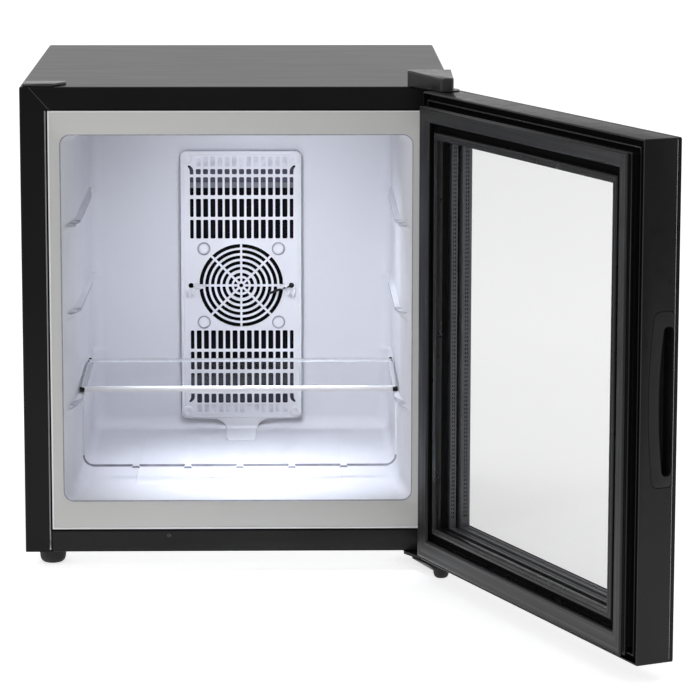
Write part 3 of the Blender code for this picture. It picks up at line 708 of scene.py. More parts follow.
def liner():
    floor_extra = [-107.2, -105.4, 105.4, 107.2]
    for centre in GROOVES:
        floor_extra += [centre + edge for edge in (-4.2, -3.1, 3.1, 4.2)]
    floor_x = stations(-FLOOR_HALF, FLOOR_HALF, 22, sorted(floor_extra))
    low, high = FLOOR_Z + CORNER_RADIUS, CEILING_Z - CORNER_RADIUS
    levels = [PAD_TOP_Z - down for down in (0, 2.5, 5)]
    for top, _ in RAILS:
        levels += [top - down for down in (-0.6, -0.02, 1.5, 3, 5, 7, 9, 10.5)]
    wall_z = [(z - low) / (high - low) for z in stations(low, high, 26, levels)]
    depths = [MOUTH_DEPTH, 10, 15, 22, 30, 38, 46, 54, 62, 70, 80, 89.6, 92, 105, 130, 150]
    depths += [161.6, 162.2, 163.0, 163.4, 164.0, 166.4, 168.2, 168.8, 169.4, 169.7, 170.0, 170.3]
    depths += [173, 190, 215, 240, 260.6, 262, 264, 266.4, 285, 305, 325, 334, 340, 345.2]
    turns = [math.radians(a) for a in (15, 30, 45, 60, 75, 86)]
    depths += [BACK_START + BACK_RADIUS * math.sin(turn) for turn in turns]
    rings = [cavity_ring(d, floor_x, wall_z) for d in depths]
    mouth = rings[0]
    lips = []
    for grow, depth in LIPS:
        lip = []
        for p in mouth:
            out_x, out_z = outward(p)
            shift = (grow * MM * out_x, (depth - MOUTH_DEPTH) * MM, grow * MM * out_z)
            lip.append(p + Vector(shift))
        lips.append(lip)
    shell = Mesh().loft([[on_flange(p) for p in mouth], *lips, *rings], caps=False)
    bm = shell.bm
    bm.verts.ensure_lookup_table()
    bm.faces.new(bm.verts[-len(mouth):])
    bmesh.ops.recalc_face_normals(bm, faces=bm.faces)
    back = max(bm.faces, key=lambda f: f.calc_area())
    if back.normal.y > 0:
        bmesh.ops.reverse_faces(bm, faces=bm.faces)
    shell = thicken(shell, 1.5)
    well = Mesh().box((-50, 50), (350, 370), (FAN_Z - 50, FAN_Z + 50))
    well.box((-29.3, 29.3), (62.7, 81.3), (414, 430))
    shell = combine(shell, well)
    obj = piece("cavity_liner", shell, LINER, "cabinet", ["liner"], smooth=40)

    # Each face takes the liner colour, the grey flange colour, or painted shade on the mouth's lip,
    # at the pad's front edge and under the rails.
    def flange_and_shade(face, x, depth, z):
        if depth < FLANGE_DEPTH + 0.06:
            return 1
        pad_edge_shade = abs(face.normal.y) > 0.5 and abs(depth - PAD_START + 3) < 5
        if depth < 2.2 or pad_edge_shade and z < FLOOR_Z + 11:
            return 2
        return 3 if abs(x) < 171 and depth < 344 and under_rail(depth, z) else 0

    paint(obj, (FLANGE, LIP_AND_SEAM_SHADE, RAIL_SHADOW), flange_and_shade)


def flange_edges():
    """Raised outer edge of the grey flange, in white moulding as a painted highlight, and the
    rolled edge of the steel round it, in near-black matt as a painted shadow gap.
    """
    profile = [(0, 1.28), (0, 0.7), (0.4, 0.35), (1.2, 0.3), (1.7, 0.6), (1.8, 1.28)]
    bead = mitred((-187.6, 187.6), (24.6, 450.4), profile)
    # The bead is whiter than the flange it belongs to: a painted highlight on a real bead.
    piece("flange_bead_highlight", bead, WHITE, "cabinet", smooth=50)
    profile = [(0, 0.05), (0.3, -0.1), (1.2, -0.1), (1.7, 0.3), (1.7, 1.2), (1.3, 1.2), (1.2, 0.3)]
    roll = mitred((-189.2, 189.2), (23.0, 452.0), profile)
    # The steel's rolled edge takes near-black matt instead of the paint: a painted shadow gap.
    piece("wrap_roll_shadow_gap", roll, BLACK_AND_SHADE, "cabinet", smooth=50)


# ---------------------------------------------------------------- fan cover

COVER_HALF = 67.4
COVER_Z = (65.2, 366.6)
COVER_FACE = 350.0
# Rows of louvre slots, as heights above or below the middle; the lowest row is deeper.
SLOT_ROWS = ((123.0, 129.0), (99.6, 120.0), (75.4, 96.0), (51.4, 72.6))
LOW_SLOT_ROWS = ((123.0, 133.6), *SLOT_ROWS[1:])
SLOT_PITCH, SLOT_WIDTH = 7.94, 5.5
SLOT_X, SLOT_Z = 0.8, 217.0
COLUMNS = [SLOT_X + column * SLOT_PITCH for column in range(-6, 7)]
END_SLOT = (53.0, 57.0)
CUT_START, CUT_LENGTH = 345, 12
# Outer and inner radius of each ring of slots in the round grille, and the spokes between them.
GRILLE_RINGS = (
    (46.5, 42.3), (40.0, 36.1), (33.6, 29.9), (27.3, 23.5), (21.0, 17.5), (14.3, 10.6), (8.3, 4.6)
)
SPOKES, SPOKE_WIDTH = 8, 2.3
FAN_SCREW = 41.25
CORNER_SCREWS = [(x, z) for x in (-59.4, 59.4) for z in (COVER_Z[0] + 8.6, COVER_Z[1] - 8.6)]


def cover_slots():
    tool = Mesh()
    through = (0, CUT_LENGTH * MM, 0)

    def slot(x, z):
        tool.prism(rectangle(x, z, CUT_START, 1.2, 2), through)

    def hole(x, radius):
        tool.turned((x, CUT_START, FAN_Z), [(radius, 0), (radius, CUT_LENGTH)], "Y", 16)

    rows = [(SLOT_Z + low, SLOT_Z + high) for low, high in SLOT_ROWS]
    rows += [(SLOT_Z - high, SLOT_Z - low) for low, high in LOW_SLOT_ROWS]
    for z in rows:
        for x in COLUMNS:
            slot((x - SLOT_WIDTH / 2, x + SLOT_WIDTH / 2), z)
    for sign in (-1, 1):
        ends = sorted(SLOT_X + sign * x for x in END_SLOT)
        for low, high in rows:
            if high - low > 15:
                slot(ends, (low, high))
        for up in (-1, 1):
            tool.prism(hook(sign, up), through)
        hole(sign * 55.5, 3.0)
    for outer, inner in GRILLE_RINGS:
        for sector in range(SPOKES):
            tool.prism(arc_slot(outer, inner, 2 * math.pi / SPOKES * sector), through)
    hole(0, 2.3)
    return tool


def hook(sign, up):
    """End slot whose tip curls outwards round the corner screw."""
    outline = [(53.0, 122.8), (53.0, 127.4), (54.0, 130.2), (56.4, 132.4), (58.6, 133.2)]
    outline += [(59.4, 131.6), (58.2, 129.8), (57.2, 127.8), (57.0, 122.8)]
    return [at(SLOT_X + sign * x, CUT_START, SLOT_Z + up * z) for x, z in outline]


def arc_slot(outer, inner, start, steps=7):
    points = []
    for radius, order in ((outer, range(steps)), (inner, reversed(range(steps)))):
        margin = math.asin(SPOKE_WIDTH / 2 / radius)
        sweep = 2 * math.pi / SPOKES - 2 * margin
        for step in order:
            angle = start + margin + sweep * step / (steps - 1)
            x, z = radius * math.cos(angle), FAN_Z + radius * math.sin(angle)
            points.append(at(x, CUT_START, z))
    return points


def blind_ribs():
    """Slots above and below the louvres that are closed by a plate behind them."""
    tool = Mesh()
    for z in ((SLOT_Z + 131.6, SLOT_Z + 143.0), (SLOT_Z - 144.6, SLOT_Z - 135.0)):
        for x in COLUMNS:
            outline = rectangle((x - 2.6, x + 2.6), z, COVER_FACE - 1, 1.2, 2)
            tool.prism(outline, (0, 4.2 * MM, 0))
    return tool


def neck():
    """Strip from the cover's lower edge over the back corner and out on to the floor."""
    floor = FLOOR_Z + PAD_RISE + 0.2
    path = [(350.6, 72.0, 30.0), (350.6, 65.0, 28.0), (350.7, 62.2, 22.4), (350.9, 59.6, 19.4)]
    path += [(350.6, 57.4, 18.2), (349.0, 56.0, 17.6), (345.6, 55.2, 17.2), (344.2, 54.8, 17.0)]
    path += [(343.4, floor + 1.6, 16.6), (320.0, floor + 1.3, 16.6), (292.0, floor + 1.2, 16.4)]
    path += [(288.6, floor + 0.9, 15.4), (287.0, floor + 0.2, 14.2)]
    rings = []
    for index, (depth, z, half) in enumerate(path):
        before = Vector(path[max(index - 1, 0)][:2])
        after = Vector(path[min(index + 1, len(path) - 1)][:2])
        along = (after - before).normalized()
        back = Vector((-along.y, along.x)) * 2.4
        if back.x < back.y:
            back = -back
        edge = half - 0.7
        section = [(-half, 0.5), (-edge, 0.0), (edge, 0.0), (half, 0.5), (half, 1.0), (-half, 1.0)]
        rings.append([at(x, depth + back.x * t, z + back.y * t) for x, t in section])
    return Mesh().loft(rings)


def fan_cover():
    rim, face = CAVITY_BACK - 0.4, COVER_FACE
    # Inset and depth from the groove in the front, over the edge and round the back.
    profile = [(4.6, face), (4.1, face + 0.45), (3.3, face + 0.45), (2.8, face), (1.8, face + 0.1)]
    profile += [(0.9, face + 0.5), (0.25, face + 1.3), (0, face + 2.4), (0, rim), (1.6, rim)]
    profile += [(1.6, face + 3.2), (2.4, face + 2.1), (4.6, face + 1.9)]
    rings = []
    for inset, depth in profile:
        x, z = shrunk((-COVER_HALF, COVER_HALF), COVER_Z, inset)
        rings.append(rectangle(x, z, depth, 9.0 - inset, 6))
    shell = combine(Mesh().loft(rings), cover_slots())
    shell = combine(shell, blind_ribs())
    bosses = [(x, FAN_Z + z) for x in (-FAN_SCREW, FAN_SCREW) for z in (-FAN_SCREW, FAN_SCREW)]
    for places, start, profile, operation in (
        (bosses, 349.6, [(7.4, 0.0), (7.4, 1.9), (5.9, 2.0), (5.9, 2.1)], "DIFFERENCE"),
        (bosses, 348.9, [(4.9, -0.3), (5.8, 0.3), (6.0, 1.2), (6.0, 3.2)], "UNION"),
        (bosses, 348.2, [(4.4, 0.0), (4.2, 1.3)], "DIFFERENCE"),
        (CORNER_SCREWS, 349, [(7.4, 0.0), (7.4, 1.7)], "DIFFERENCE"),
    ):
        tool = Mesh()
        for x, z in places:
            tool.turned((x, start, z), profile, "Y")
        shell = combine(shell, tool, operation)
    shell = combine(shell, neck(), "UNION")
    obj = piece(
        "fan_cover_detail", shell, WHITE, "cabinet", ["fan_cover"], smooth=30
    )

    # Faces in the groove round the cover and round each boss take painted shade.
    def shaded(face, x, depth, z):
        depth -= COVER_FACE
        low_edge = z < COVER_Z[0] + 0.95 and abs(x) > 33
        rim = abs(x) > COVER_HALF - 0.95 or z > COVER_Z[1] - 0.95 or low_edge
        ring = any(5.9 < math.hypot(x - cx, z - cz) < 7.5 for cx, cz in bosses)
        return rim and 0.45 < depth < 2.0 or ring and 0.6 < depth < 1.9

    paint(obj, [GROOVE_SHADE], shaded)


def cover_fittings():
    """Cross-headed screws at the corners of the cover."""
    profile = [(1.6, 0.9), (2.4, 0.3), (3.6, 0.0), (5.2, 0.2), (6.1, 0.9), (6.2, 2.0)]
    for number, (x, z) in enumerate(CORNER_SCREWS, 1):
        head = Mesh().turned((x, 348.8, z), profile, "Y")
        for half_x, half_z in ((2.7, 0.55), (0.55, 2.7)):
            slot = Mesh().box((x - half_x, x + half_x), (347.5, 349.9), (z - half_z, z + half_z))
            head = combine(head, slot)
        name = f"cover_screw_{number}"
        piece(f"cover_screw_head_{number}", head, WHITE, "cabinet", [name])


def clip(name, sign, node):
    """Twisted plastic tie: a knotted strip beside the sensor hole with two hanging tails."""
    strip = [(51.4, 349.9, 0.8), (50.6, 347.2, 1.8), (49.2, 346.6, -1.4), (47.4, 346.4, 1.2)]
    strip += [(45.2, 346.6, -1.8), (43.0, 346.8, -0.6), (41.0, 349.6, -1.8)]
    long_tail = [(58.2, 349.0, -3.2), (59.6, 347.4, -6.4), (57.6, 347.0, -9.0)]
    long_tail += [(58.4, 348.6, -12.2)]
    short_tail = [(51.6, 348.8, -4.4), (53.4, 347.2, -7.2), (51.8, 347.6, -10.0)]
    mesh = Mesh()
    for path, radius in ((strip, 1.9), (long_tail, 1.6), (short_tail, 1.6)):
        mesh.tube([(sign * x, depth - 1.6, FAN_Z + z) for x, depth, z in path], radius, 10)
    piece(name, mesh, WHITE, "cabinet", [node], smooth=60)


def sensor():
    """Thin dark wire that comes out of the cover, through the tie and on to the grille."""
    path = [(55.6, 352.5, 0.0), (55.5, 349.4, 0.1), (54.6, 347.6, 0.2), (52.6, 348.0, -0.4)]
    path += [(48.0, 348.2, -1.8), (44.8, 347.4, -3.0), (40.0, 347.0, -5.0), (35.0, 347.2, -7.0)]
    path += [(31.0, 347.8, -8.6)]
    mesh = Mesh().tube([(x, depth, FAN_Z + z) for x, depth, z in path], 1.35)
    stands_for = ["temperature_probe"]
    piece("sensor_wire", mesh, GRAINED, "cabinet", stands_for, smooth=60)


def duct():
    """Near-black sheet behind the louvres as painted shade, a pale bar for the liner's edge in
    painted shade, dark blue-grey strips above the bar and near the bottom, and grey plates under
    the ribs as painted shade.
    """
    # Near-black sheet where the space behind the louvres is in shade: painted shade.
    lining = Mesh().box((-62, 62), (357.4, 359.2), (FAN_Z - 141, FAN_Z + 141))
    hole = Mesh().box((-47.5, 47.5), (350, 365), (FAN_Z - 47.5, FAN_Z + 47.5))
    piece("duct_shade_sheet", combine(lining, hole), DUCT, "cabinet")
    # The liner's edge behind the louvres, in a darker grey: painted shade.
    bar = Mesh().box((-60, 60), (355.2, 357.2), (FAN_Z + 108.3, FAN_Z + 114.6))
    piece("liner_bar_shade", soften(bar, 0.5, 2), LINER_BAR_SHADE, "cabinet")
    strips, plates = Mesh(), Mesh()
    for z in ((FAN_Z + 115.0, FAN_Z + 131), (FAN_Z - 132.6, FAN_Z - 122)):
        strips.box((-60, 60), (356.0, 357.2), z)
    piece("duct_seals", soften(strips, 0.3, 2), DUCT_STRIP, "cabinet")
    # Plates under the ribs in a darker grey than the cover: painted shade.
    for z in ((SLOT_Z + 130.4, SLOT_Z + 144.2), (SLOT_Z - 145.2, SLOT_Z - 134.4)):
        plates.box((-52, 56), (COVER_FACE + 2.1, COVER_FACE + 3.0), z)
    piece("rib_shade_plates", soften(plates, 0.3, 2), RIB_SHADE, "cabinet")


# ---------------------------------------------------------------- shelf


SHELF_HALF, SHELF_DEPTH, SHELF_Z, SHELF_CORNER = 164.9, (105.5, 266.0), (146.1, 150.1), 6


def shelf_sheet():
    (near, far), (low, high) = SHELF_DEPTH, SHELF_Z
    plan = [(-SHELF_HALF, near), (SHELF_HALF, near)]
    for sign, start in ((1, 0), (-1, 90)):
        centre = (sign * (SHELF_HALF - SHELF_CORNER), far - SHELF_CORNER)
        plan += arc_plan(*centre, SHELF_CORNER, start, start + 90, 5)
    middle, span = (near + far) / 2, far - near
    rings = []
    for inset, z in ((0.5, low), (0.0, low + 0.5), (0.0, high - 0.5), (0.5, high)):
        share_x, share_y = (SHELF_HALF - inset) / SHELF_HALF, (span - 2 * inset) / span
        rings.append([at(x * share_x, middle + (y - middle) * share_y, z) for x, y in plan])
    sheet, stands_for = Mesh().loft(rings), ["shelf_glass"]
    obj = piece("shelf_sheet", sheet, SHELF_GLASS, "shelf", stands_for, smooth=50)

    # Side edges take a darker grey than the front and back: painted shade.
    def edge(face, x, depth, z):
        if abs(face.normal.z) < 0.9:
            return 2 if abs(face.normal.x) > 0.8 else 1
        return 0

    paint(obj, (GLASS_EDGE, SIDE_GLASS_SHADE), edge)


def shelf_fittings():
    """White strip on the front edge with a black cap at each end, and two pads at the rear."""
    front, back = SHELF_DEPTH[0] - 2.7, SHELF_DEPTH[0] - 0.3
    low, high = SHELF_Z[0] - 0.2, SHELF_Z[1] + 0.3
    section = [(front + 0.5, low), (back, low), (back, high), (back + 2, high)]
    section += [(back + 2, high + 0.4), (back + 1.6, high + 0.8), (front + 0.9, high + 0.8)]
    section += [(front + 0.3, high + 0.5), (front, high - 0.1), (front, low + 0.5)]
    half = SHELF_HALF - 2.6
    strip = Mesh().prism([at(-half, y, z) for y, z in section], (2 * half * MM, 0, 0))
    stands_for = ["shelf_trim"]
    piece("shelf_front_strip", strip, WHITE, "shelf", stands_for, smooth=50)
    caps, pads = Mesh(), Mesh()
    top = SHELF_Z[1]
    profile = [(1.2, top - 0.2), (1.8, top + 0.2), (1.7, top + 0.9), (0.9, top + 1.2)]
    for sign in (-1, 1):
        rings = []
        for reach, grow in ((-2.6, 0.7), (-2.2, 1.0), (2.0, 1.0), (2.6, 0.7)):
            ring = []
            for y, z in arc_plan(0, 0, grow, 0, 342, 19):
                y, z = front + 1.4 + 2.4 * y, SHELF_Z[0] + 2.2 + 2.7 * z
                ring.append(at(sign * 162.2 + reach, y, z))
            rings.append(ring)
        caps.loft(rings)
        pads.turned((sign * 162.6, 263.4, 0), profile, sides=16)
    piece("shelf_end_caps", caps, PLASTIC, "shelf", smooth=50)
    piece("shelf_rear_pads", pads, PLASTIC, "shelf", smooth=50)


# ---------------------------------------------------------------- door

DOOR_X, DOOR_Z = (-213.0, 215.0), (2.0, 473.6)
FACE_DEPTH = (-47.6, -43.6)
HINGE_X, HINGE_DEPTH = 208.2, -34.2
GRIP_Z = (162.5, 320.5)
# Recess in the back of the frame between its outer wall and the gasket.
RECESS_X, RECESS_Z = (-211.2, 213.2), (3.8, 471.8)


def bowed(x, z, front, reach, ends, corner):
    """Outline on the free edge: flat along the front glass and bowed towards the cabinet."""
    middle, half = (z[0] + z[1]) / 2, (z[1] - z[0]) / 2
    outline = []

    def arc(depth, level, radius, start):
        for step in range(7):
            angle = math.radians(start + 15 * step)
            outline.append((depth + radius * math.cos(angle), level + radius * math.sin(angle)))

    near = min(corner, 4.0)
    arc(front + near, z[0] + near, near, 180)
    arc(front + ends - corner, z[0] + corner, corner, 270)
    for step in range(1, 24):
        t = -1 + 2 * step / 24
        bow = (reach - ends) * (1 - t * t)
        outline.append((front + ends + bow, middle + (half - corner) * t))
    arc(front + ends - corner, z[1] - corner, corner, 0)
    arc(front + near, z[1] - near, near, 90)
    return [at(x, depth, level) for depth, level in outline]


def door_frame():
    profile = ((0.6, -43.3), (0.0, -42.7), (0.0, -11.2), (0.35, -10.35), (1.2, -10.0))
    rings = [rectangle(*shrunk(DOOR_X, DOOR_Z, inset), depth, 1.6, 3) for inset, depth in profile]
    rings += [rectangle((-185, 185), (29.5, 445.5), depth, 1.0, 3) for depth in (-10.0, -43.3)]
    tool = Mesh()
    pocket = bowed(DOOR_X[0] - 2, (GRIP_Z[0] - 0.4, GRIP_Z[1] + 0.4), -43.05, 25.6, 21.4, 7.4)
    tool.prism(pocket, (21.5 * MM, 0, 0))
    for level in (DOOR_Z[0] + 5, DOOR_Z[1] - 5):
        tool.turned((HINGE_X, HINGE_DEPTH, level - 8), [(5.9, 0), (5.9, 16)])
    mesh = combine(Mesh().loft(rings, closed=True), tool)
    recess = [(0, -16.8), (0, -8), (12.5, -8), (12.5, -16.8)]
    mesh = combine(mesh, mitred(RECESS_X, RECESS_Z, recess))
    stands_for = ["door_frame"]
    obj = piece("door_frame_detail", mesh, PLASTIC, "door", stands_for, smooth=28)

    def recess_shade(face, x, depth, z):
        across = RECESS_X[0] - 0.1 < x < RECESS_X[1] + 0.1
        return across and RECESS_Z[0] - 0.1 < z < RECESS_Z[1] + 0.1 and -17.0 < depth < -10.4

    # The recess faces take near-black matt over the frame's plastic: painted shade in the recess.
    paint(obj, [BLACK_AND_SHADE], recess_shade)
    profile = [(0, -16.6), (0, -11.2), (0.4, -10.8), (1.1, -10.8), (1.5, -11.2), (1.5, -16.6)]
    carrier = mitred((-205.4, 207.4), (9.6, 466.0), profile)
    piece("gasket_carrier", carrier, PLASTIC, "door")


def grip():
    insert = Mesh().prism(bowed(DOOR_X[0], GRIP_Z, -42.7, 24.8, 20.6, 7.0), (19.2 * MM, 0, 0))
    hollow = bowed(DOOR_X[0] - 3, (172.3, 307.0), -42.3, 14.2, 10.2, 4.6)
    insert = combine(soften(insert, 0.55, 3, 50), Mesh().prism(hollow, (18.5 * MM, 0, 0)))
    piece("grip_detail", insert, GRAINED, "door", ["grip_insert"], smooth=28)


# Closed profiles, as inset from the outer edge and depth.
GASKET_PROFILE = (
    (2.0, -9.6), (1.6, -8.4), (0.2, -7.4), (0.0, -6.6), (0.3, -5.9), (2.4, -5.2), (2.5, -4.5),
    (0.6, -3.7), (0.1, -2.9), (0.2, -1.9), (0.8, -1.1), (1.8, -0.7), (3.2, -0.6), (5.4, -0.95),
    (7.2, -0.7), (10.0, -0.6), (12.8, -0.7), (14.6, -0.95), (16.6, -0.6), (18.0, -0.7),
    (19.2, -1.4), (19.9, -2.7), (19.7, -4.0), (18.4, -5.0), (18.4, -6.4), (17.0, -9.6),
)
GASKET_WIDTH = 19.9
INNER_PROFILE = (
    (0.0, -15.6), (0.0, -10.3), (6.6, -10.1), (7.1, -9.4), (7.1, -4.2), (7.5, -3.4), (8.3, -3.0),
    (10.6, -3.0), (11.0, -3.4), (11.6, -3.4), (12.0, -3.0), (13.6, -3.0), (14.3, -3.3),
    (14.6, -4.0), (14.6, -9.0), (14.2, -9.6), (14.2, -15.6),
)
SPACER_HALF, SPACER_Z = 179, (35, 440)


def perforations(depth):
    """Two rows of fine near-black slots on the inner faces of a spacer, painted shade in place of
    the perforations.
    """
    mesh = Mesh()
    half, middle, reach = 1.1, sum(SPACER_Z) / 2, 196.0
    for row in (depth - 1.1, depth + 1.1):
        across = (row - 0.5, row + 0.5)
        for x in (step * 4.0 for step in range(-41, 42)):
            for z in (middle - reach, middle + reach):
                mesh.box((x - half, x + half), across, (z - 0.15, z + 0.15))
        for z in (middle + step * 4.0 for step in range(-46, 47)):
            for x in (-172.5, 172.5):
                mesh.box((x - 0.15, x + 0.15), across, (z - half, z + half))
    return mesh


def gasket():
    """The seal is narrower on the free side and at the top."""
    rings = []
    for inset, depth in GASKET_PROFILE:
        free, top = (narrow + inset * (1 - narrow / GASKET_WIDTH) for narrow in (7.0, 5.5))
        rings.append(rectangle((-205 + free, 205 - inset), (9 + inset, 466 - top), depth))
    mesh = Mesh().loft(rings, closed=True)
    piece("gasket_detail", mesh, VINYL, "door", ["gasket"], smooth=50)


def inner_frame():
    mesh = mitred((-184.6, 184.6), (29.9, 445.1), INNER_PROFILE)
    stands_for = ["inner_frame"]
    obj = piece("inner_frame_detail", mesh, PLASTIC, "door", stands_for, smooth=40)
    # Faces more than 9.5 mm in front of the cabinet take near-black matt: painted shade.
    paint(obj, [BLACK_AND_SHADE], lambda face, x, depth, z: depth < -9.5)


def spacers():
    for name, front, back in (("spacer_outer", -43.3, -32.3), ("spacer_inner", -27.7, -20.3)):
        middle, half = (front + back) / 2, (back - front) / 2
        profile = [(0, front), (0, back), (6.0, back), (7.0, back - 0.8)]
        profile += [(7.0, middle + half * 0.45), (6.5, middle + half * 0.4)]
        profile += [(6.5, middle - half * 0.4), (7.0, middle - half * 0.45)]
        profile += [(7.0, front + 0.8), (6.0, front)]
        mesh = mitred((-SPACER_HALF, SPACER_HALF), SPACER_Z, profile)
        piece(f"{name}_bar", mesh, SPACER, "door", [name], smooth=40)
        # Near-black slots in the spacer: painted shade in place of the perforations.
        piece(f"{name}_hole_shade", perforations(middle), BLACK_AND_SHADE, "door")


def glazing():
    """Front glass with a dark edge, and the black print on its back."""
    rings = []
    for share, depth in ((0, -43.55), (0, -43.36), (1, -43.36), (1, -43.55)):
        x = (DOOR_X[0] + 0.5 + share * 37.1, DOOR_X[1] - 0.5 - share * 39.1)
        z = (DOOR_Z[0] + 0.5 + share * 40.3, DOOR_Z[1] - 0.5 - share * 40.1)
        rings.append(rectangle(x, z, depth))
    border = Mesh().loft(rings, closed=True)
    piece("glass_print", border, PRINT, "door")
    front, back = FACE_DEPTH
    profile = ((0.5, front), (0.0, front + 0.5), (0.0, back - 0.4), (0.4, back))
    rings = [rectangle(*shrunk(DOOR_X, DOOR_Z, inset), depth, 1.6) for inset, depth in profile]
    sheet = Mesh().loft(rings)
    stands_for = ["glass_outer"]
    obj = piece("front_glass", sheet, DOOR_GLASS, "door", stands_for, smooth=40)
    paint(obj, [DARK_EDGE], lambda face, x, depth, z: abs(face.normal.y) < 0.95)


# ---------------------------------------------------------------- hinge, caps and feet


def plan_rings(plan, levels, fall=0.0):
    """Rings of a plan outline at several heights; fall lowers the last rings towards the front."""
    mid_x, mid_y = (sum(values) / len(plan) for values in zip(*plan))
    size = max(math.hypot(x - mid_x, y - mid_y) for x, y in plan)
    rings = []
    for inset, z in levels:
        ring = []
        for x, y in plan:
            length = math.hypot(x - mid_x, y - mid_y)
            share = 1 - inset / max(length, size * 0.3)
            down = fall * smooth(-y / 50) if z > 480 else 0
            ring.append(at(mid_x + (x - mid_x) * share, mid_y + (y - mid_y) * share, z - down))
        rings.append(ring)
    return rings


def hinge_cover():
    tip = arc_plan(203.4, -45.6, 4.2, 205, 270) + arc_plan(209.0, -45.6, 4.2, 270, 360)
    plan = [(170, 12.5), (170, 3)] + tip + [(213.2, 12.5)]
    levels = ((0, 474.4), (0, 488.0), (0.3, 489.1), (0.9, 489.8), (1.6, 490.0))
    solid = Mesh().loft(plan_rings(plan, levels, 2.6))
    inner_plan = [(172, 10.6), (172, 1.2)] + arc_plan(206.2, -39.6, 6.0, 190, 360) + [(212.0, 10.6)]
    hollow = Mesh().prism([at(x, y, 473) for x, y in inner_plan], (0, 0, 11 * MM))
    profile = [(12.4, 473.8), (12.6, 474.0), (12.6, 475.0)]
    skirt = Mesh().turned((HINGE_X - 1.2, HINGE_DEPTH, 0), profile, sides=48)
    solid = combine(combine(solid, hollow), skirt, "UNION")
    bore = Mesh().turned((HINGE_X, HINGE_DEPTH, 0), [(7.0, 472), (7.0, 478)])
    solid = combine(solid, bore)
    stands_for = ["top_hinge_cover"]
    piece("hinge_cover_detail", solid, GLOSS, "cabinet", stands_for, smooth=30)


def cap():
    plan = [(-212, 1.5), (-181, 1.5), (-170, 24), (-170, 30), (-212, 30)]
    levels = ((0, 474.3), (0, 476.2), (0.4, 476.8), (1.2, 477.0))
    solid = soften(Mesh().loft(plan_rings(plan, levels)), 0.6, 3, 50)
    stands_for = ["blanking_cap"]
    piece("hinge_cap_detail", solid, GLOSS, "cabinet", stands_for, smooth=30)


def wrap_seams():
    """Folded mitre joints in the front flange of the steel wrap, as raised strips in a lighter grey
    that is a painted highlight along the fold.
    """
    for name, side in (("left", -1), ("right", 1)):
        start, end = Vector((side * 205.6, 473.6)), Vector((side * 184.4, 449.9))
        along = (end - start).normalized()
        across = Vector((along.y, -along.x)) * 0.55
        corners = (start + across, end + across, end - across, start - across)
        mesh = Mesh().prism([at(x, -0.35, z) for x, z in corners], (0, 0.6 * MM, 0))
        piece(f"wrap_seam_{name}", soften(mesh, 0.16, 2), SEAM, "cabinet")


def sill():
    """Bottom rail between the side flanges, with soft edges and a shadow gap round it."""
    half, low, high = 188.2, 1.6, 23.2
    section = [(0.6, low), (9.0, low), (9.0, low + 1.2), (1.4, low + 1.2), (1.4, high), (0.6, high)]
    rail_mesh = Mesh().prism([at(-half, depth, z) for depth, z in section], (2 * half * MM, 0, 0))
    rings = []
    for inset, depth in ((0.0, 1.2), (0.0, 0.55), (0.25, 0.18), (0.8, 0.02)):
        rings.append(rectangle(*shrunk((-half, half), (low, high), inset), depth, 1.2, 3))
    face_mesh = Mesh().loft(rings)
    # The sill's face takes the lighter copy of the paint, which is painted light.
    for name, mesh, material in (
        ("sill_rail", rail_mesh, STEEL_PAINT), ("sill_face", face_mesh, LIT_SILL_PAINT)
    ):
        lamp_hole = Mesh().turned((-70, -2, 18), [(1.9, 0), (1.9, 6)], "Y", 24)
        mesh = combine(mesh, lamp_hole)
        piece(name, mesh, material, "cabinet", ["front_sill"], smooth=30)
    gaps = Mesh()
    for x in ((-189.1, -187.7), (187.7, 189.1)):
        gaps.box(x, (-0.06, 1.1), (1.8, 23.0))
    piece("sill_gaps", gaps, BLACK_AND_SHADE, "cabinet")


def bracket_boot():
    """Sloping gusset from the lower hinge bracket down to the hinge-side foot."""
    wide = [(176, 2), (176, -14), (192, -44), (212, -44), (213.4, -30), (213.4, 2)]
    narrow = [(196.2, -34), (196.6, -39), (199.6, -45.4), (206.6, -46.4), (211.4, -41.2)]
    narrow += [(210.6, -34)]
    levels = ((wide, -2.0), (wide, -3.2), (narrow, -9.8))
    mesh = soften(Mesh().loft([[at(x, y, z) for x, y in plan] for plan, z in levels]), 0.5, 2)
    piece("bracket_gusset", mesh, PLASTIC, "cabinet", smooth=40)


# Where each foot stands, its radius and the height of its top.
FEET = {
    "foot_front_left": (-189.5, 32.0, 13.5, 1.2),
    "foot_front_right": (204.0, -39.5, 8.2, -2.1),
    "foot_rear_left": (-189.5, 412.0, 13.5, 1.2),
    "foot_rear_right": (189.5, 412.0, 13.5, 1.2),
}


def feet():
    for name, (x, depth, r, top) in FEET.items():
        profile = [(0.5, top), (0.5, top - 1.8), (0.9, top - 2.0), (0.985, top - 2.6)]
        profile += [(1, top - 3.6), (0.985, -8.0), (0.95, -11.4), (0.86, -14.0), (0.72, -15.5)]
        profile += [(0.6, -16.0), (0.45, -16.0), (0.4, -15.2)]
        mesh = Mesh().turned((x, depth, 0), [(r * share, z) for share, z in profile], sides=40)
        piece(f"{name}_detail", mesh, RUBBER, "cabinet", [name], smooth=40)


# ---------------------------------------------------------------- studio

WORLD_FRONT, WORLD_BACK = 0.34, 0.78
# The floor's glow, in front and at the fridge, and the stretch of y in which it changes.
FLOOR_GLOW, FADE_Y = (0.04, 0.66), (-2.3, -0.75)


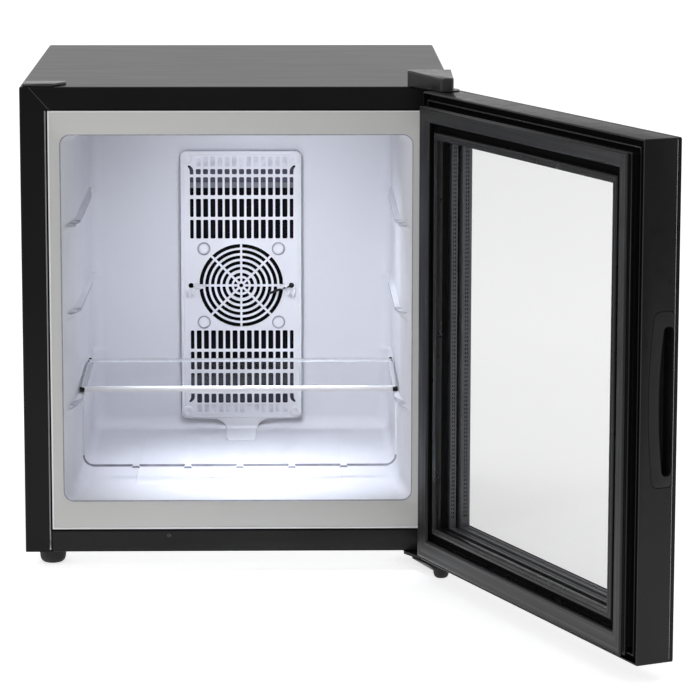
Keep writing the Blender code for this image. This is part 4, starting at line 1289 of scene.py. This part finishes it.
def floor_material():
    """Pale sweep that glows a little round the fridge and fades far in front of it."""
    s = Shader("pale_sweep", grey(0.45), 0.8, 0.0, 0.05)
    split = s.nodes.new("ShaderNodeSeparateXYZ")
    s.link(s.coordinates(), split.inputs["Vector"])
    s.set("Emission Color", (1, 1, 1, 1))
    glow = s.spread(split.outputs["Y"], *FLOOR_GLOW, *FADE_Y)
    s.link(glow, s.main.inputs["Emission Strength"])
    s.vary_color(split.outputs["Y"], grey(0.8), *FADE_Y)
    return s.material


def floor():
    bm = bmesh.new()
    bmesh.ops.create_circle(bm, cap_ends=True, segments=64, radius=30.0)
    mesh = bpy.data.meshes.new("floor")
    bm.to_mesh(mesh)
    bm.free()
    mesh.materials.append(floor_material())
    obj = bpy.data.objects.new("floor", mesh)
    obj.location.z = CAD_BOUNDS[0].z
    bpy.context.scene.collection.objects.link(obj)


def world():
    """White room that is brighter behind the fridge than in front of it."""
    backdrop = bpy.data.worlds.new("studio")
    bpy.context.scene.world = backdrop
    backdrop.use_nodes = True
    nodes, links = backdrop.node_tree.nodes, backdrop.node_tree.links
    background = nodes["Background"]
    background.inputs["Color"].default_value = (1, 1, 1, 1)
    where = nodes.new("ShaderNodeTexCoord")
    split = nodes.new("ShaderNodeSeparateXYZ")
    ramp = nodes.new("ShaderNodeMapRange")
    map_range(ramp, WORLD_FRONT, WORLD_BACK, -0.7, 0.7)
    links.new(where.outputs["Generated"], split.inputs["Vector"])
    links.new(split.outputs["Y"], ramp.inputs["Value"])
    links.new(ramp.outputs["Result"], background.inputs["Strength"])


def area_light(name, location, target, size, power, color=(1, 1, 1)):
    light = bpy.data.lights.new(name, "AREA")
    light.shape = "RECTANGLE"
    light.size, light.size_y = size
    light.energy = power
    light.color = color
    obj = bpy.data.objects.new(name, light)
    obj.location = location
    direction = Vector(target) - Vector(location)
    obj.rotation_euler = direction.to_track_quat("-Z", "Y").to_euler()
    bpy.context.scene.collection.objects.link(obj)
    return obj


# Soft lights at the cavity's lamp: name, aim (x, depth, z), power and spread in degrees.
CABIN_LIGHTS = (
    ("cabin_back", 40, 360, 125, 0.43, 106),
    ("cabin_floor", 12, 108, 52, 0.3, 60),
    ("cabin_right", 162, 170, 200, 0.1, 76),
    ("cabin_left", -162, 170, 190, 0.045, 76),
)


def lights():
    area_light("key", (-1.5, -2.4, 1.9), (0, 0, 0.2), (1.5, 1.5), 22)
    area_light("fill", (2.6, -1.4, 1.4), (0.2, -0.2, 0.2), (1.4, 1.4), 5)
    area_light("top", (0, 0.6, 2.6), (0, 0, 0.2), (2.4, 1.6), 8)
    low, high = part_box("lamp_lens")
    middle = (low + high) / 2
    lamp = (middle.x, middle.y, low.z - 0.002)
    for name, side, depth, height, power, spread in CABIN_LIGHTS:
        aim = at(side, depth, height)
        light = area_light(name, lamp, aim, (0.056, 0.016), power, (0.83, 0.87, 1.0))
        light.data.spread = math.radians(spread)


def camera():
    """Long lens a little above the fridge, as a catalogue picture is taken."""
    focal_px, shift_px, image = 3308.75, 70.0, 700.0
    pitch, roll, yaw = 0.1641, -0.0015, 0.0212
    data = bpy.data.cameras.new("camera")
    data.sensor_width = 36.0
    data.lens = focal_px * data.sensor_width / image
    data.shift_y = -shift_px / image
    data.clip_end = 100.0
    obj = bpy.data.objects.new("camera", data)
    obj.location = at(42.86, -3265.35, 820.71)
    obj.rotation_euler = (math.pi / 2 - pitch, roll, -yaw)
    bpy.context.scene.collection.objects.link(obj)
    bpy.context.scene.camera = obj


def color_management():
    scene = bpy.context.scene
    scene.view_settings.view_transform = "Standard"
    scene.view_settings.look = "None"


camera()
color_management()
world()
lights()
floor()
finish_cad_nodes()
liner()
flange_edges()
fan_cover()
cover_fittings()
clip("clip_left", -1, "probe_clip_left")
clip("clip_right", 1, "probe_clip_right")
sensor()
duct()
shelf_sheet()
shelf_fittings()
door_frame()
grip()
gasket()
inner_frame()
spacers()
glazing()
hinge_cover()
cap()
wrap_seams()
sill()
bracket_boot()
feet()
